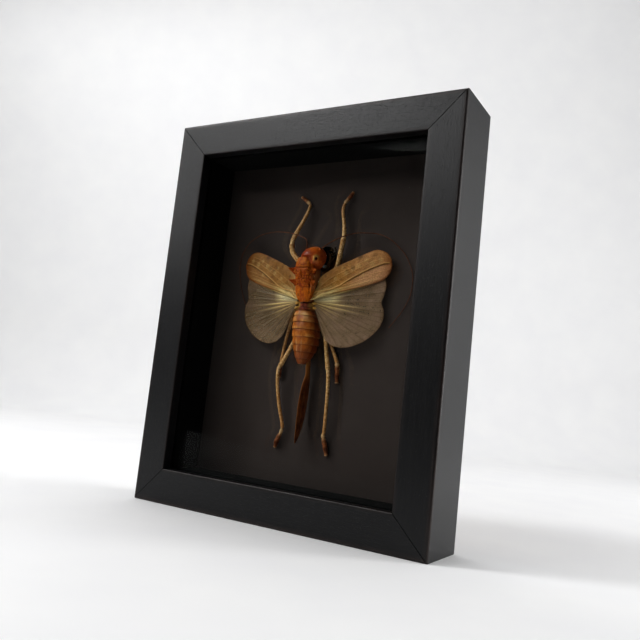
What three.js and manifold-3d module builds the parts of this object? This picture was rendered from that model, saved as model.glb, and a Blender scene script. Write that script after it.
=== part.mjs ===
// A spread katydid on a charcoal card, behind glass in a deep black box frame.
// Lengths are millimetres. +X is the viewer's right, +Z is up and the glazed front faces -Y.
// The origin is on the surface that the frame stands on, under the middle of the whole thing.

import * as THREE from 'three';
import { mergeVertices } from 'three/addons/utils/BufferGeometryUtils.js';
import Module from 'manifold-3d';

const wasm = await Module();
wasm.setup();

// Driving sizes of the case
const FRAME_WIDTH = 178;
const FRAME_HEIGHT = 220;
const FRAME_DEPTH = 35;
const RAIL_FACE = 19;
const LIP_DEPTH = 6;
const RABBET = 6;
const OUTER_ROUND = 1.2;
const INNER_ROUND = 0.6;
const GAP = 0.3;
const GLASS_THICK = 2;
const CARD_DEPTH = 29.7;
const CARD_THICK = 1.5;
const BACK_THICK = 2.5;
const TAB = { width: 11, reach: 9, thick: 0.6, height: 55 };
const HANGER = {
  length: 46,
  height: 9,
  thick: 0.9,
  teeth: 10,
  tooth: 1.8,
  nailGap: 36,
  headRound: 2.4,
  headRise: 0.9,
};

// Places that follow from them
const HANGER_PROUD = GAP + HANGER.thick + HANGER.headRise;
const FRONT_Y = -(FRAME_DEPTH + HANGER_PROUD) / 2;
const OPENING_WIDTH = FRAME_WIDTH - 2 * RAIL_FACE;
const OPENING_HEIGHT = FRAME_HEIGHT - 2 * RAIL_FACE;
const INSET_WIDTH = OPENING_WIDTH + 2 * RABBET - 2 * GAP;
const INSET_HEIGHT = OPENING_HEIGHT + 2 * RABBET - 2 * GAP;
const MIDDLE_Z = FRAME_HEIGHT / 2;
const SPACER_THICK = RABBET - GAP;
const SPACER_FRONT = LIP_DEPTH + GAP + GLASS_THICK + GAP;
const BACK_DEPTH = CARD_DEPTH + CARD_THICK + GAP;

// Driving sizes of the insect. Stations run from the head end to the tail. Each gives the middle of the
// body (x, z and lift off the card) with its half width and half depth.
const WING_MIDLINE = -2;
const THORAX = {
  z: [140.5, 136, 130, 124, 118, 112, 108.5],
  x: [-1.6, -2, -2, -1.8, -1.6, -1.6, -1.5],
  lift: [8.4, 7.4, 6.9, 6.4, 6.1, 6.4, 7.2],
  half: [2.6, 3.8, 4.2, 4.5, 5.2, 5.8, 4.6],
  deep: [3.6, 5.4, 5.5, 5.2, 4.9, 5.4, 4.4],
};
const ABDOMEN = {
  z: [113.2, 109.5, 104.5, 99, 93.5, 88.5, 84.4],
  x: [-1.7, -1.1, -0.5, -0.1, 0, -0.2, -0.3],
  lift: [8.2, 7.8, 7.5, 7.2, 7.1, 7.6, 8.7],
  half: [5.6, 7.4, 8.1, 8, 7, 5, 2],
  deep: [4.8, 6, 6.5, 6.4, 5.7, 4.2, 1.8],
};
const ABDOMEN_RINGS = 8;
const SADDLE = {
  z: [142.6, 140, 136.5, 133, 129.5, 126, 122.5, 119.8, 118.1],
  x: [-3.1, -2.9, -2.6, -2.4, -2.1, -1.8, -1.5, -1.4, -1.5],
  top: [15.5, 15.8, 15.6, 15.1, 14.4, 13.8, 13.3, 12.9, 12.4],
  edge: [8.5, 6.6, 6, 6.2, 7.6, 10.2, 11.2, 11.4, 11.4],
  half: [5.3, 5.6, 5.9, 5.8, 5.6, 5.4, 5, 4, 2.2],
};
const SADDLE_THICK = 0.9;
const COLLAR_LIFT = 12.4;
const HEAD = { x: 0.7, z: 142.9, lift: 8.6, long: 7.7, wide: 6.5, high: 6.3 };
const HEAD_LEAN = new THREE.Vector3(0.73, 0.66, 0.12).normalize();
const EYE = { round: 1.5, along: -0.5, aside: 5.7, forward: -1.1 };
const JAW = { along: 5.9, low: -0.9, long: 4.4, wide: 4.4, high: 6.7 };
const CARD_CLEAR = 0.3;
const WING_ROOT = 5;
const WING_SPAN = 43;
const WING_DROOP = 1.2;
const FOREWING = { rootLift: 9.9, tipLift: 3.2, thick: 0.45, vein: 0.28, bow: 0.5 };
const HINDWING = { rootLift: 8.8, tipLift: 2.2, thick: 0.3, pleat: 0.3, folds: 13 };

// Colours and surfaces
const look = (color, roughness, metalness = 0) => (
  new THREE.MeshStandardMaterial({ color, roughness, metalness })
);
const STAINED_WOOD = look('#1d1d1e', 0.6);
const PANE = new THREE.MeshStandardMaterial({
  color: '#eef3f2', roughness: 0.02, transparent: true, opacity: 0.15,
});
const BLACK_BOARD = look('#0b0b0c', 0.85);
const CHARCOAL_CARD = look('#302d2c', 0.9);
const HARDBOARD = look('#7a5a3c', 0.8);
const TAB_STEEL = look('#b9b9b4', 0.35, 1);
const BRASSED_STEEL = look('#b08d4a', 0.35, 1);
const HEAD_SHELL = look('#a8481a', 0.45);
const BLACK_SHELL = look('#15100e', 0.25);
const SADDLE_SHELL = look('#a8581f', 0.5);
const TRUNK_SHELL = look('#74402c', 0.6);
const BELLY_SHELL = look('#b5723a', 0.5);
const BLADE_SHELL = look('#5c2f14', 0.4);
const LIMB_SHELL = look('#b98f52', 0.55);
const FEELER_SHELL = look('#6e3c28', 0.6);
const LEATHERY_WING = look('#8a6c38', 0.6);
const SMOKY_WING = new THREE.MeshStandardMaterial({
  color: '#7b7064', roughness: 0.5, transparent: true, opacity: 0.7,
});

// Places a point over the card: x, then z up the frame, then how far it stands off the card
const over = (x, z, lift) => new THREE.Vector3(x, -lift, z);

// Reads evenly spaced values as one smooth curve, at t from 0 to 1
function between(values, t) {
  const last = values.length - 1;
  const at = Math.min(Math.max(t, 0), 1) * last;
  const i = Math.min(Math.floor(at), last - 1);
  const f = at - i;
  const before = values[Math.max(i - 1, 0)];
  const after = values[Math.min(i + 2, last)];
  const here = values[i];
  const next = values[i + 1];
  const slopeHere = (next - before) / 2;
  const slopeNext = (after - here) / 2;
  const rise = next - here;
  const bend = 3 * rise - 2 * slopeHere - slopeNext;
  const twist = slopeHere + slopeNext - 2 * rise;
  return here + f * (slopeHere + f * (bend + f * twist));
}

// Makes one closed geometry from points and triangles, with its faces turned out
function closed(points, faces) {
  const inside = faces.reduce((sum, [a, b, c]) => {
    const cross = new THREE.Vector3().crossVectors(points[b], points[c]);
    return sum + points[a].dot(cross);
  }, 0);
  const order = inside < 0 ? [0, 2, 1] : [0, 1, 2];
  const geometry = new THREE.BufferGeometry().setFromPoints(points);
  geometry.setIndex(faces.flatMap((face) => order.map((k) => face[k])));
  const merged = mergeVertices(geometry, 1e-4);
  const index = Array.from(merged.index.array);
  const kept = [];
  for (let i = 0; i < index.length; i += 3) {
    const [a, b, c] = index.slice(i, i + 3);
    if (a !== b && b !== c && c !== a) kept.push(a, b, c);
  }
  merged.setIndex(kept);
  return merged;
}

// Skins a row of rings and closes both ends on their own middles
function loft(rings) {
  const sides = rings[0].length;
  const points = rings.flat();
  const faces = [];
  for (let i = 0; i < rings.length - 1; i += 1) {
    for (let j = 0; j < sides; j += 1) {
      const a = i * sides + j;
      const b = i * sides + ((j + 1) % sides);
      faces.push([a, b, b + sides], [a, b + sides, a + sides]);
    }
  }
  const ends = [[0, true], [(rings.length - 1) * sides, false]];
  for (const [start, first] of ends) {
    const middle = new THREE.Vector3();
    for (let j = 0; j < sides; j += 1) middle.addScaledVector(points[start + j], 1 / sides);
    const hub = points.push(middle) - 1;
    for (let j = 0; j < sides; j += 1) {
      const a = start + j;
      const b = start + ((j + 1) % sides);
      faces.push(first ? [hub, b, a] : [hub, a, b]);
    }
  }
  return closed(points, faces);
}

// Joins an upper and a lower grid of points round their border into one thin solid
function sheet(upper, lower) {
  const rows = upper.length;
  const columns = upper[0].length;
  const points = [...upper.flat(), ...lower.flat()];
  const faces = [];
  const under = rows * columns;
  const quad = (a, b, c, d) => faces.push([a, b, c], [a, c, d]);
  for (let i = 0; i < rows - 1; i += 1) {
    for (let j = 0; j < columns - 1; j += 1) {
      const a = i * columns + j;
      quad(a, a + 1, a + columns + 1, a + columns);
      quad(under + a, under + a + columns, under + a + columns + 1, under + a + 1);
    }
  }
  for (let i = 0; i < rows - 1; i += 1) {
    const a = i * columns;
    const b = a + columns - 1;
    quad(a, a + columns, under + a + columns, under + a);
    quad(b, under + b, under + b + columns, b + columns);
  }
  for (let j = 0; j < columns - 1; j += 1) {
    const a = (rows - 1) * columns + j;
    quad(j, under + j, under + j + 1, j + 1);
    quad(a, a + 1, under + a + 1, under + a);
  }
  return closed(points, faces);
}

// A round tube along a curve, with its own radius at every t; its sections turn with the curve
function limb(curve, steps, sides, radiusAt) {
  const rings = [];
  const normal = new THREE.Vector3(0, -1, 0);
  for (let i = 0; i <= steps; i += 1) {
    const t = i / steps;
    const along = curve.getTangent(t);
    normal.addScaledVector(along, -normal.dot(along)).normalize();
    const across = new THREE.Vector3().crossVectors(along, normal);
    const middle = curve.getPoint(t);
    const radius = radiusAt(t);
    rings.push(Array.from({ length: sides }, (_, j) => {
      const turn = (2 * Math.PI * j) / sides;
      return middle.clone()
        .addScaledVector(normal, radius * Math.cos(turn))
        .addScaledVector(across, radius * Math.sin(turn));
    }));
  }
  return loft(rings);
}

const curveThrough = (points) => new THREE.CatmullRomCurve3(points, false, 'catmullrom', 0.4);

// Turns a closed geometry into a solid that can be joined and cut, and back
function solid(geometry) {
  const bare = geometry.clone();
  bare.deleteAttribute('normal');
  bare.deleteAttribute('uv');
  const merged = mergeVertices(bare, 1e-4);
  return new wasm.Manifold(new wasm.Mesh({
    numProp: 3,
    vertProperties: new Float32Array(merged.attributes.position.array),
    triVerts: new Uint32Array(merged.index.array),
  }));
}

function shaped(body) {
  const mesh = body.getMesh();
  const geometry = new THREE.BufferGeometry();
  const place = new THREE.BufferAttribute(new Float32Array(mesh.vertProperties), 3);
  geometry.setAttribute('position', place);
  geometry.setIndex(Array.from(mesh.triVerts));
  return geometry;
}

// A thorn from a foot point along a direction, sunk a little so that it grows out of its piece
function thorn(foot, direction, length, radius, sides = 5) {
  const sunk = radius * 0.8;
  const cone = new THREE.ConeGeometry(radius, length + sunk, sides);
  cone.translate(0, (length + sunk) / 2 - sunk, 0);
  const up = new THREE.Vector3(0, 1, 0);
  const turn = new THREE.Quaternion().setFromUnitVectors(up, direction.clone().normalize());
  cone.applyQuaternion(turn);
  cone.translate(foot.x, foot.y, foot.z);
  return solid(cone);
}

function bead(centre, radius) {
  const ball = new THREE.SphereGeometry(radius, 10, 6);
  ball.translate(centre.x, centre.y, centre.z);
  return solid(ball);
}

// Everything between two lifts off the card, to keep a cut to one side of a level
function layer(low, high) {
  const wide = 400;
  const block = new THREE.BoxGeometry(wide, high - low, wide);
  block.translate(0, -(low + high) / 2, 0);
  return solid(block);
}

const specimen = new THREE.Group();
const framed = new THREE.Group();

function add(group, name, geometry, material) {
  const mesh = new THREE.Mesh(geometry, material);
  mesh.name = name;
  group.add(mesh);
  return mesh;
}

// The moulding's section: u runs inwards across the face, v runs back from the front
function mouldingSection() {
  const wall = RAIL_FACE - RABBET;
  const section = new THREE.Shape();
  section.moveTo(OUTER_ROUND, 0);
  section.lineTo(RAIL_FACE - INNER_ROUND, 0);
  section.quadraticCurveTo(RAIL_FACE, 0, RAIL_FACE, INNER_ROUND);
  section.lineTo(RAIL_FACE, LIP_DEPTH);
  section.lineTo(wall, LIP_DEPTH);
  section.lineTo(wall, FRAME_DEPTH);
  section.lineTo(0, FRAME_DEPTH);
  section.lineTo(0, OUTER_ROUND);
  section.quadraticCurveTo(0, 0, OUTER_ROUND, 0);
  return section;
}

// One rail lies along X with its outer edge on z = 0, and each end is mitred inwards at 45 degrees
function rail(name, length, middle, turn) {
  const straight = { depth: 1, bevelEnabled: false, curveSegments: 3 };
  const bar = new THREE.ExtrudeGeometry(mouldingSection(), straight);
  const place = bar.attributes.position;
  const mitreGap = (GAP / 2) * Math.SQRT2;
  for (let i = 0; i < place.count; i += 1) {
    const u = place.getX(i);
    const v = place.getY(i);
    const side = place.getZ(i) > 0.5 ? 1 : -1;
    place.setXYZ(i, side * (length / 2 - u - mitreGap), v, u);
  }
  const piece = add(framed, name, shaped(solid(closedFrom(bar))), STAINED_WOOD);
  piece.rotation.y = turn;
  piece.position.set(middle.x, FRONT_Y, middle.z);
}

// Reads a geometry's corners again as one closed skin whose faces look out
function closedFrom(geometry) {
  const place = geometry.attributes.position;
  const points = Array.from({ length: place.count }, (_, i) => (
    new THREE.Vector3().fromBufferAttribute(place, i)
  ));
  const order = geometry.index ? Array.from(geometry.index.array) : points.map((_, i) => i);
  const faces = [];
  for (let i = 0; i < order.length; i += 3) faces.push(order.slice(i, i + 3));
  return closed(points, faces);
}

rail('rail_bottom', FRAME_WIDTH, { x: 0, z: 0 }, 0);
rail('rail_top', FRAME_WIDTH, { x: 0, z: FRAME_HEIGHT }, Math.PI);
rail('rail_left', FRAME_HEIGHT, { x: -FRAME_WIDTH / 2, z: MIDDLE_Z }, Math.PI / 2);
rail('rail_right', FRAME_HEIGHT, { x: FRAME_WIDTH / 2, z: MIDDLE_Z }, -Math.PI / 2);

// Flat pieces in the rabbet, by their depth behind the front of the frame
function plate(name, width, height, thick, depth, x, z, material) {
  const piece = add(framed, name, new THREE.BoxGeometry(width, thick, height), material);
  piece.position.set(x, FRONT_Y + depth + thick / 2, z);
}

plate('glass', INSET_WIDTH, INSET_HEIGHT, GLASS_THICK, LIP_DEPTH + GAP, 0, MIDDLE_Z, PANE);
plate('backing_card', INSET_WIDTH, INSET_HEIGHT, CARD_THICK, CARD_DEPTH, 0, MIDDLE_Z, CHARCOAL_CARD);
plate('back_panel', INSET_WIDTH, INSET_HEIGHT, BACK_THICK, BACK_DEPTH, 0, MIDDLE_Z, HARDBOARD);

const spacerDeep = CARD_DEPTH - GAP - SPACER_FRONT;
const spacerX = (OPENING_WIDTH + SPACER_THICK) / 2;
const spacerZ = (OPENING_HEIGHT + SPACER_THICK) / 2;
const standing = OPENING_HEIGHT - 2 * GAP;
for (const [side, sign] of [['left', -1], ['right', 1]]) {
  const x = sign * spacerX;
  plate(`spacer_${side}`, SPACER_THICK, standing, spacerDeep, SPACER_FRONT, x, MIDDLE_Z, BLACK_BOARD);
}
for (const [side, sign] of [['bottom', -1], ['top', 1]]) {
  const z = MIDDLE_Z + sign * spacerZ;
  plate(`spacer_${side}`, INSET_WIDTH, SPACER_THICK, spacerDeep, SPACER_FRONT, 0, z, BLACK_BOARD);
}

// A bent steel tab with a round end, from the rabbet's wall over the back panel
function tab(name, sign, z) {
  const half = TAB.width / 2;
  const outline = new THREE.Shape();
  outline.moveTo(0, -half);
  outline.lineTo(TAB.reach - half, -half);
  outline.absarc(TAB.reach - half, 0, half, -Math.PI / 2, Math.PI / 2, false);
  outline.lineTo(0, half);
  const pressed = { depth: TAB.thick, bevelEnabled: false, curveSegments: 8 };
  const geometry = new THREE.ExtrudeGeometry(outline, pressed);
  const piece = add(framed, name, geometry, TAB_STEEL);
  const turned = sign > 0;
  const depth = BACK_DEPTH + BACK_THICK + GAP + (turned ? 0 : TAB.thick);
  piece.rotation.set(Math.PI / 2, turned ? Math.PI : 0, 0);
  piece.position.set(sign * (INSET_WIDTH / 2), FRONT_Y + depth, z);
}

for (const [side, sign] of [['left', -1], ['right', 1]]) {
  tab(`tab_${side}_upper`, sign, MIDDLE_Z + TAB.height);
  tab(`tab_${side}_lower`, sign, MIDDLE_Z - TAB.height);
}

// The sawtooth hanger: a strip with a row of teeth below, held by two domed nails
function hanger() {
  const half = HANGER.length / 2;
  const top = HANGER.height / 2;
  const run = HANGER.nailGap - 4 * HANGER.headRound;
  const outline = new THREE.Shape();
  outline.moveTo(-half, top);
  outline.lineTo(-half, -top + HANGER.tooth);
  outline.lineTo(-run / 2, -top + HANGER.tooth);
  for (let i = 0; i < HANGER.teeth; i += 1) {
    const start = -run / 2 + (run * i) / HANGER.teeth;
    outline.lineTo(start + run / HANGER.teeth / 2, -top);
    outline.lineTo(start + run / HANGER.teeth, -top + HANGER.tooth);
  }
  outline.lineTo(half, -top + HANGER.tooth);
  outline.lineTo(half, top);
  const strip = new THREE.ExtrudeGeometry(outline, { depth: HANGER.thick, bevelEnabled: false });
  let body = solid(closedFrom(strip));
  for (const sign of [-1, 1]) {
    const dome = [new THREE.Vector2(0, 0), new THREE.Vector2(HANGER.headRound, 0)];
    for (let i = 0; i <= 3; i += 1) {
      const lean = (Math.PI / 2) * (i / 3);
      const rise = HANGER.thick + HANGER.headRise * Math.sin(lean);
      dome.push(new THREE.Vector2(HANGER.headRound * Math.cos(lean), rise));
    }
    const head = new THREE.LatheGeometry(dome, 10);
    head.rotateX(Math.PI / 2);
    head.translate((sign * HANGER.nailGap) / 2, 0, 0);
    body = body.add(solid(closedFrom(head)));
  }
  const piece = add(framed, 'hanger', shaped(body), BRASSED_STEEL);
  piece.rotation.set(-Math.PI / 2, 0, 0);
  piece.position.set(0, FRONT_Y + FRAME_DEPTH + GAP, FRAME_HEIGHT - (RAIL_FACE - RABBET) / 2);
}

hanger();

// The trunk: oval rings square to the body's length. grow thickens it, to cut clearance in neighbours
function ovalRing(form, t, sides, grow = 0, swell = 1) {
  const half = between(form.half, t) * swell + grow;
  const deep = between(form.deep, t) * swell + grow;
  return Array.from({ length: sides }, (_, j) => {
    const turn = (2 * Math.PI * j) / sides;
    return over(
      between(form.x, t) + half * Math.cos(turn),
      between(form.z, t),
      between(form.lift, t) + deep * Math.sin(turn),
    );
  });
}

function trunkSolid(form, steps, sides, grow = 0) {
  const rings = Array.from({ length: steps + 1 }, (_, i) => ovalRing(form, i / steps, sides, grow));
  if (grow > 0) {
    const rise = grow;
    rings.unshift(rings[0].map((p) => p.clone().setZ(p.z + rise)));
    rings.push(rings.at(-1).map((p) => p.clone().setZ(p.z - rise)));
  }
  return solid(loft(rings));
}

// Each abdomen ring swells to its hind edge and steps in under it
function abdomenSolid(sides) {
  const rings = [];
  for (let i = 0; i < ABDOMEN_RINGS; i += 1) {
    for (const [f, swell] of [[0, 0.955], [0.55, 1.0], [0.94, 1.02]]) {
      rings.push(ovalRing(ABDOMEN, (i + f) / ABDOMEN_RINGS, sides, 0, swell));
    }
  }
  rings.push(ovalRing(ABDOMEN, 1, sides, 0, 0.8));
  return solid(loft(rings));
}

// The head is an egg that leans right and down to the jaws, so its own axes are worked out first
const headAlong = new THREE.Vector3(HEAD_LEAN.x, HEAD_LEAN.y, HEAD_LEAN.z);
const headAside = new THREE.Vector3().crossVectors(headAlong, new THREE.Vector3(0, 0, 1)).normalize();
const headForward = new THREE.Vector3().crossVectors(headAside, headAlong).normalize();
const headMiddle = over(HEAD.x, HEAD.z, HEAD.lift);
const onHead = (along, aside, forward) => headMiddle.clone()
  .addScaledVector(headAlong, along)
  .addScaledVector(headAside, aside)
  .addScaledVector(headForward, forward);

function egg(grow) {
  const ball = new THREE.SphereGeometry(1, 18, 12);
  const place = ball.attributes.position;
  for (let i = 0; i < place.count; i += 1) {
    const spot = onHead(
      place.getY(i) * -(HEAD.long + grow),
      place.getX(i) * (HEAD.wide + grow),
      place.getZ(i) * (HEAD.high + grow),
    );
    place.setXYZ(i, spot.x, spot.y, spot.z);
  }
  return solid(closedFrom(ball));
}

function headSolid() {
  let body = egg(0);
  for (const side of [-1, 1]) {
    const eye = onHead(EYE.along, side * EYE.aside, EYE.forward);
    body = body.add(bead(eye, EYE.round));
  }
  return body;
}

// The black lower face: a broad jaw lobe round the cheek, the upper lip, two mandibles and the palps
function mouthSolid() {
  const ball = new THREE.SphereGeometry(1, 12, 8);
  const place = ball.attributes.position;
  for (let i = 0; i < place.count; i += 1) {
    const along = JAW.along + JAW.long * place.getY(i);
    const spot = onHead(along, JAW.wide * place.getX(i), JAW.low + JAW.high * place.getZ(i));
    place.setXYZ(i, spot.x, spot.y, spot.z);
  }
  let body = solid(closedFrom(ball));
  const lip = curveThrough([onHead(5, 0.6, 4.6), onHead(8.4, 0.6, 5), onHead(10.6, 0.4, 4)]);
  body = body.add(solid(limb(lip, 4, 7, (t) => 2.3 - t)));
  for (const side of [-1, 1]) {
    const jaw = curveThrough([
      onHead(8, side * 2, -1), onHead(10.6, side * 1.8, 0.4), onHead(11.6, side * 0.6, 2.4),
    ]);
    body = body.add(solid(limb(jaw, 4, 6, (t) => 1.8 - 1.2 * t)));
    const palp = curveThrough([
      onHead(9, side * 2.6, 2), onHead(11.4, side * 3, 3.4), onHead(10.8, side * 3.4, 6),
    ]);
    body = body.add(solid(limb(palp, 5, 5, (t) => 0.6 - 0.2 * t)));
  }
  return body;
}

// The saddle: an arched shell, lower at its sides, flat behind, with thorns and warts
function saddlePoint(t, s, inward) {
  const half = between(SADDLE.half, t) - inward;
  const edge = between(SADDLE.edge, t);
  const top = between(SADDLE.top, t) - inward;
  const turn = (s * Math.PI) / 2;
  const wide = Math.sign(turn) * Math.abs(Math.sin(turn)) ** 0.55;
  const tall = Math.max(Math.cos(turn), 0) ** 0.5;
  return over(between(SADDLE.x, t) + half * wide, between(SADDLE.z, t), edge + (top - edge) * tall);
}

function saddleGrid(pointAt) {
  const rows = 13;
  const columns = 10;
  return Array.from({ length: rows + 1 }, (_, i) => (
    Array.from({ length: columns + 1 }, (_, j) => pointAt(i / rows, (2 * j) / columns - 1))
  ));
}

// What the head leaves free for the saddle's front margin: the margin's plan, from one level up
function collarRoom() {
  const clearTop = SADDLE.top[0] + 10;
  const grid = (lift) => {
    const points = saddleGrid((t, s) => saddlePoint(t, s, -GAP).setY(-lift));
    points.unshift(points[0].map((p) => p.clone().setZ(p.z + GAP)));
    return points;
  };
  return solid(sheet(grid(clearTop), grid(COLLAR_LIFT - GAP)));
}

function saddleSolid() {
  const grid = (inward) => saddleGrid((t, s) => saddlePoint(t, s, inward));
  let body = solid(sheet(grid(0), grid(SADDLE_THICK)));
  const thorns = [
    { t: 0.3, s: 0.6, length: 4.6, radius: 1.8 },
    { t: 0.53, s: 0.58, length: 4.4, radius: 1.7 },
  ];
  for (const { t, s, length, radius } of thorns) {
    for (const side of [-1, 1]) {
      const foot = saddlePoint(t, side * s, 0.2);
      body = body.add(thorn(foot, new THREE.Vector3(side, -0.25, 0.12), length, radius, 6));
    }
  }
  for (let i = 0; i < 9; i += 1) {
    const t = 0.38 + 0.08 * (i % 3);
    const s = -0.28 + 0.28 * Math.floor(i / 3) + 0.06 * (i % 2);
    body = body.add(thorn(saddlePoint(t, s, 0), new THREE.Vector3(0, -1, 0), 0.6, 0.7, 4));
  }
  return body;
}

// The ovipositor: a short round stalk that widens into a tall blade, curved up to a point
const OVIPOSITOR = {
  z: [89, 84, 79, 74, 68, 62, 56, 50, 45, 41.8],
  x: [0.9, 1.2, 1.5, 1.4, 1.3, 1.1, 0.8, 0.5, 0.2, 0],
  lift: [4.2, 4, 3.8, 4.4, 5, 5.2, 5.3, 5.6, 6.2, 6.9],
  half: [1.2, 1.1, 0.95, 0.85, 0.8, 0.75, 0.7, 0.6, 0.45, 0.15],
  deep: [1.5, 1.8, 2.2, 3.6, 4.3, 4.4, 4, 3.1, 1.9, 0.4],
};

// Wings: lift above the card falls from the root to the tip, both by the same droop
const wingLift = (wing, span) => {
  const out = Math.max(span - WING_ROOT, 0) / WING_SPAN;
  return wing.rootLift + (wing.tipLift - wing.rootLift) * out ** WING_DROOP;
};

// Front and hind edges of the forewing as distance from the wings' midline and height z, root to tip
const FOREWING_FRONT = {
  left: [
    [3, 122.6], [6.9, 127], [7.3, 131.8], [10.5, 136.3], [18, 140.3], [26, 143.6], [33, 146.3],
    [38.5, 147.8], [43.4, 147.2], [46.7, 144.3], [47.8, 140],
  ],
  right: [
    [3, 122.6], [6.9, 126.6], [7.6, 130.8], [10.5, 134.1], [18, 138.7], [26, 142.6], [33, 146],
    [38.5, 148], [43.4, 147], [46.4, 144], [47.6, 140],
  ],
};
const FOREWING_HIND = [
  [3, 119.3], [6.7, 120], [9, 120.9], [12.5, 122], [19, 124], [26.5, 126.1], [33.5, 128.2],
  [38.8, 130], [43.4, 132.1], [46.6, 135.4], [47.7, 140],
];
// The hindwing's rim from its front corner round to the abdomen, and the root that its folds leave
const HINDWING_RIM = [
  [39, 137.6], [43.6, 133.4], [45.1, 128.6], [44.4, 124], [43.3, 119.8], [44.9, 115.8],
  [45, 111.6], [43.6, 107.2], [40.8, 103.3], [37, 99.8], [32, 96.9], [26.5, 95.1], [21, 94.9],
  [16.6, 96.5], [13.2, 99.8], [11, 104], [9.8, 108.2], [8.4, 112.2],
];
const HINDWING_ROOT = [[5.3, 120.2], [5.6, 117.4], [6.5, 114.4]];

const edgeCurve = (places) => new THREE.SplineCurve(places.map(([x, y]) => new THREE.Vector2(x, y)));

function forewing(name, side) {
  const front = edgeCurve(FOREWING_FRONT[name]);
  const hind = edgeCurve(FOREWING_HIND);
  const rows = 14;
  const columns = 6;
  const mainVein = 4;
  const grid = (face) => Array.from({ length: rows + 1 }, (_, i) => {
    const a = hind.getPoint(i / rows);
    const b = front.getPoint(i / rows);
    return Array.from({ length: columns + 1 }, (_, j) => {
      const spot = a.clone().lerp(b, j / columns);
      const ridge = j === mainVein ? FOREWING.vein : 0;
      const bow = FOREWING.bow * Math.min(1, (4 * i) / rows) * Math.sin((Math.PI * j) / columns);
      const lift = wingLift(FOREWING, spot.x) + bow + ridge + (face * FOREWING.thick) / 2;
      return over(WING_MIDLINE + side * spot.x, spot.y, lift);
    });
  });
  return solid(sheet(grid(1), grid(-1)));
}

function hindwing(side) {
  const rim = edgeCurve(HINDWING_RIM);
  const root = edgeCurve(HINDWING_ROOT);
  const columns = 2 * HINDWING.folds;
  const reach = [0, 0.3, 0.65, 1];
  const grid = (face) => reach.map((out) => Array.from({ length: columns + 1 }, (_, j) => {
    const spot = root.getPoint(j / columns).lerp(rim.getPoint(j / columns), out);
    const fold = (j % 2 === 0 ? 1 : -1) * HINDWING.pleat * Math.min(1, 1.6 * out);
    const lift = wingLift(HINDWING, spot.x) + fold + (face * HINDWING.thick) / 2;
    return over(WING_MIDLINE + side * spot.x, spot.y, lift);
  }));
  return solid(sheet(grid(1), grid(-1)));
}

// Legs: joints from hip to foot with the radius at each, then thorns along the shin
const LEGS = {
  front_leg_left: {
    joints: [
      [-4, 136, 3.6, 1.3], [-10.5, 141, 4.4, 1.5], [-16.6, 147.4, 5, 1.45],
      [-17.4, 153.6, 5.4, 1.35], [-15.6, 159, 4.9, 1.25], [-13, 164.6, 4.3, 1.05],
      [-10.4, 171.4, 3.6, 0.95], [-9.8, 175.4, 3, 0.9], [-12.6, 178.2, 2.2, 0.95],
      [-16.8, 181, 1.4, 0.6],
    ],
    thorns: [0.5, 0.56, 0.62, 0.68, 0.74],
    lean: [1, 0, -0.2],
  },
  front_leg_right: {
    joints: [
      [0.6, 132.6, 2.6, 1.2], [7.6, 132.8, 2.7, 1.3], [12.5, 139.4, 3.4, 1.45],
      [14.6, 149.5, 4.6, 1.4], [15.4, 156.5, 4.6, 1.3], [14.4, 163.6, 4.2, 1.05],
      [12.4, 171, 3.4, 0.95], [12.9, 175.6, 2.8, 0.9], [15, 178.8, 2.1, 1], [16.6, 182, 1.4, 0.6],
    ],
    thorns: [0.5, 0.56, 0.62, 0.68, 0.74],
    lean: [-1, 0, -0.2],
  },
  middle_leg_left: {
    joints: [
      [-4.6, 123.5, 3.4, 1.2], [-9, 117.5, 2.8, 1.2], [-13.4, 111.4, 2.4, 1.1],
      [-15.2, 104, 2.2, 0.9], [-16.4, 98, 2.1, 0.85], [-17.6, 89, 2, 0.9], [-18, 85, 1.9, 0.95],
      [-18.4, 76.4, 1.4, 0.7],
    ],
    thorns: [0.55, 0.64],
    lean: [-1, 0, -0.3],
  },
  middle_leg_right: {
    joints: [
      [2.2, 124.5, 2.8, 1.1], [5.2, 117.5, 1.9, 1.1], [7, 111, 1.7, 1], [8.8, 104.5, 1.7, 0.9],
      [12, 98.6, 2.2, 0.9], [17.6, 88.4, 2.6, 1.05], [18.4, 84.5, 2.2, 1.1], [18.8, 76, 1.6, 0.8],
    ],
    thorns: [0.55, 0.64],
    lean: [1, 0, -0.3],
  },
  hind_leg_left: {
    joints: [
      [-5.2, 113.5, 3.2, 1.7], [-7.4, 106.5, 2.6, 1.6], [-9.4, 99, 3, 1.3],
      [-12.2, 91.5, 4.2, 1.1], [-15.2, 84.6, 5, 1.25], [-17.4, 80.6, 4.9, 1.05], [-17, 72, 4.5, 1],
      [-14.9, 61, 3.8, 0.95], [-12, 50.6, 2.8, 0.95], [-12.8, 46.2, 2.2, 0.9],
      [-15, 41.8, 1.9, 1.15], [-16.1, 37.8, 1.4, 0.7],
    ],
    thorns: [0.5, 0.56, 0.62, 0.68],
    lean: [-1, 0, -0.2],
  },
  hind_leg_right: {
    joints: [
      [4.2, 116, 4.4, 1.7], [8.6, 110.6, 5, 1.6], [10.4, 103.5, 5.2, 1.35], [12.2, 93.5, 5.2, 1.1],
      [14, 84.8, 5, 1.25], [14.8, 80.6, 4.8, 1.1], [15.4, 71, 4.4, 1], [15.3, 60, 3.8, 0.95],
      [15, 50, 3, 0.9], [14.4, 47.4, 2.4, 1], [15.8, 42.6, 2, 1.15], [16.9, 37.4, 1.4, 0.75],
    ],
    thorns: [0.5, 0.56, 0.62, 0.68],
    lean: [1, 0, -0.2],
  },
};
const LEG_SIDES = 7;
const RINGS_PER_JOINT = 2;

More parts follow.
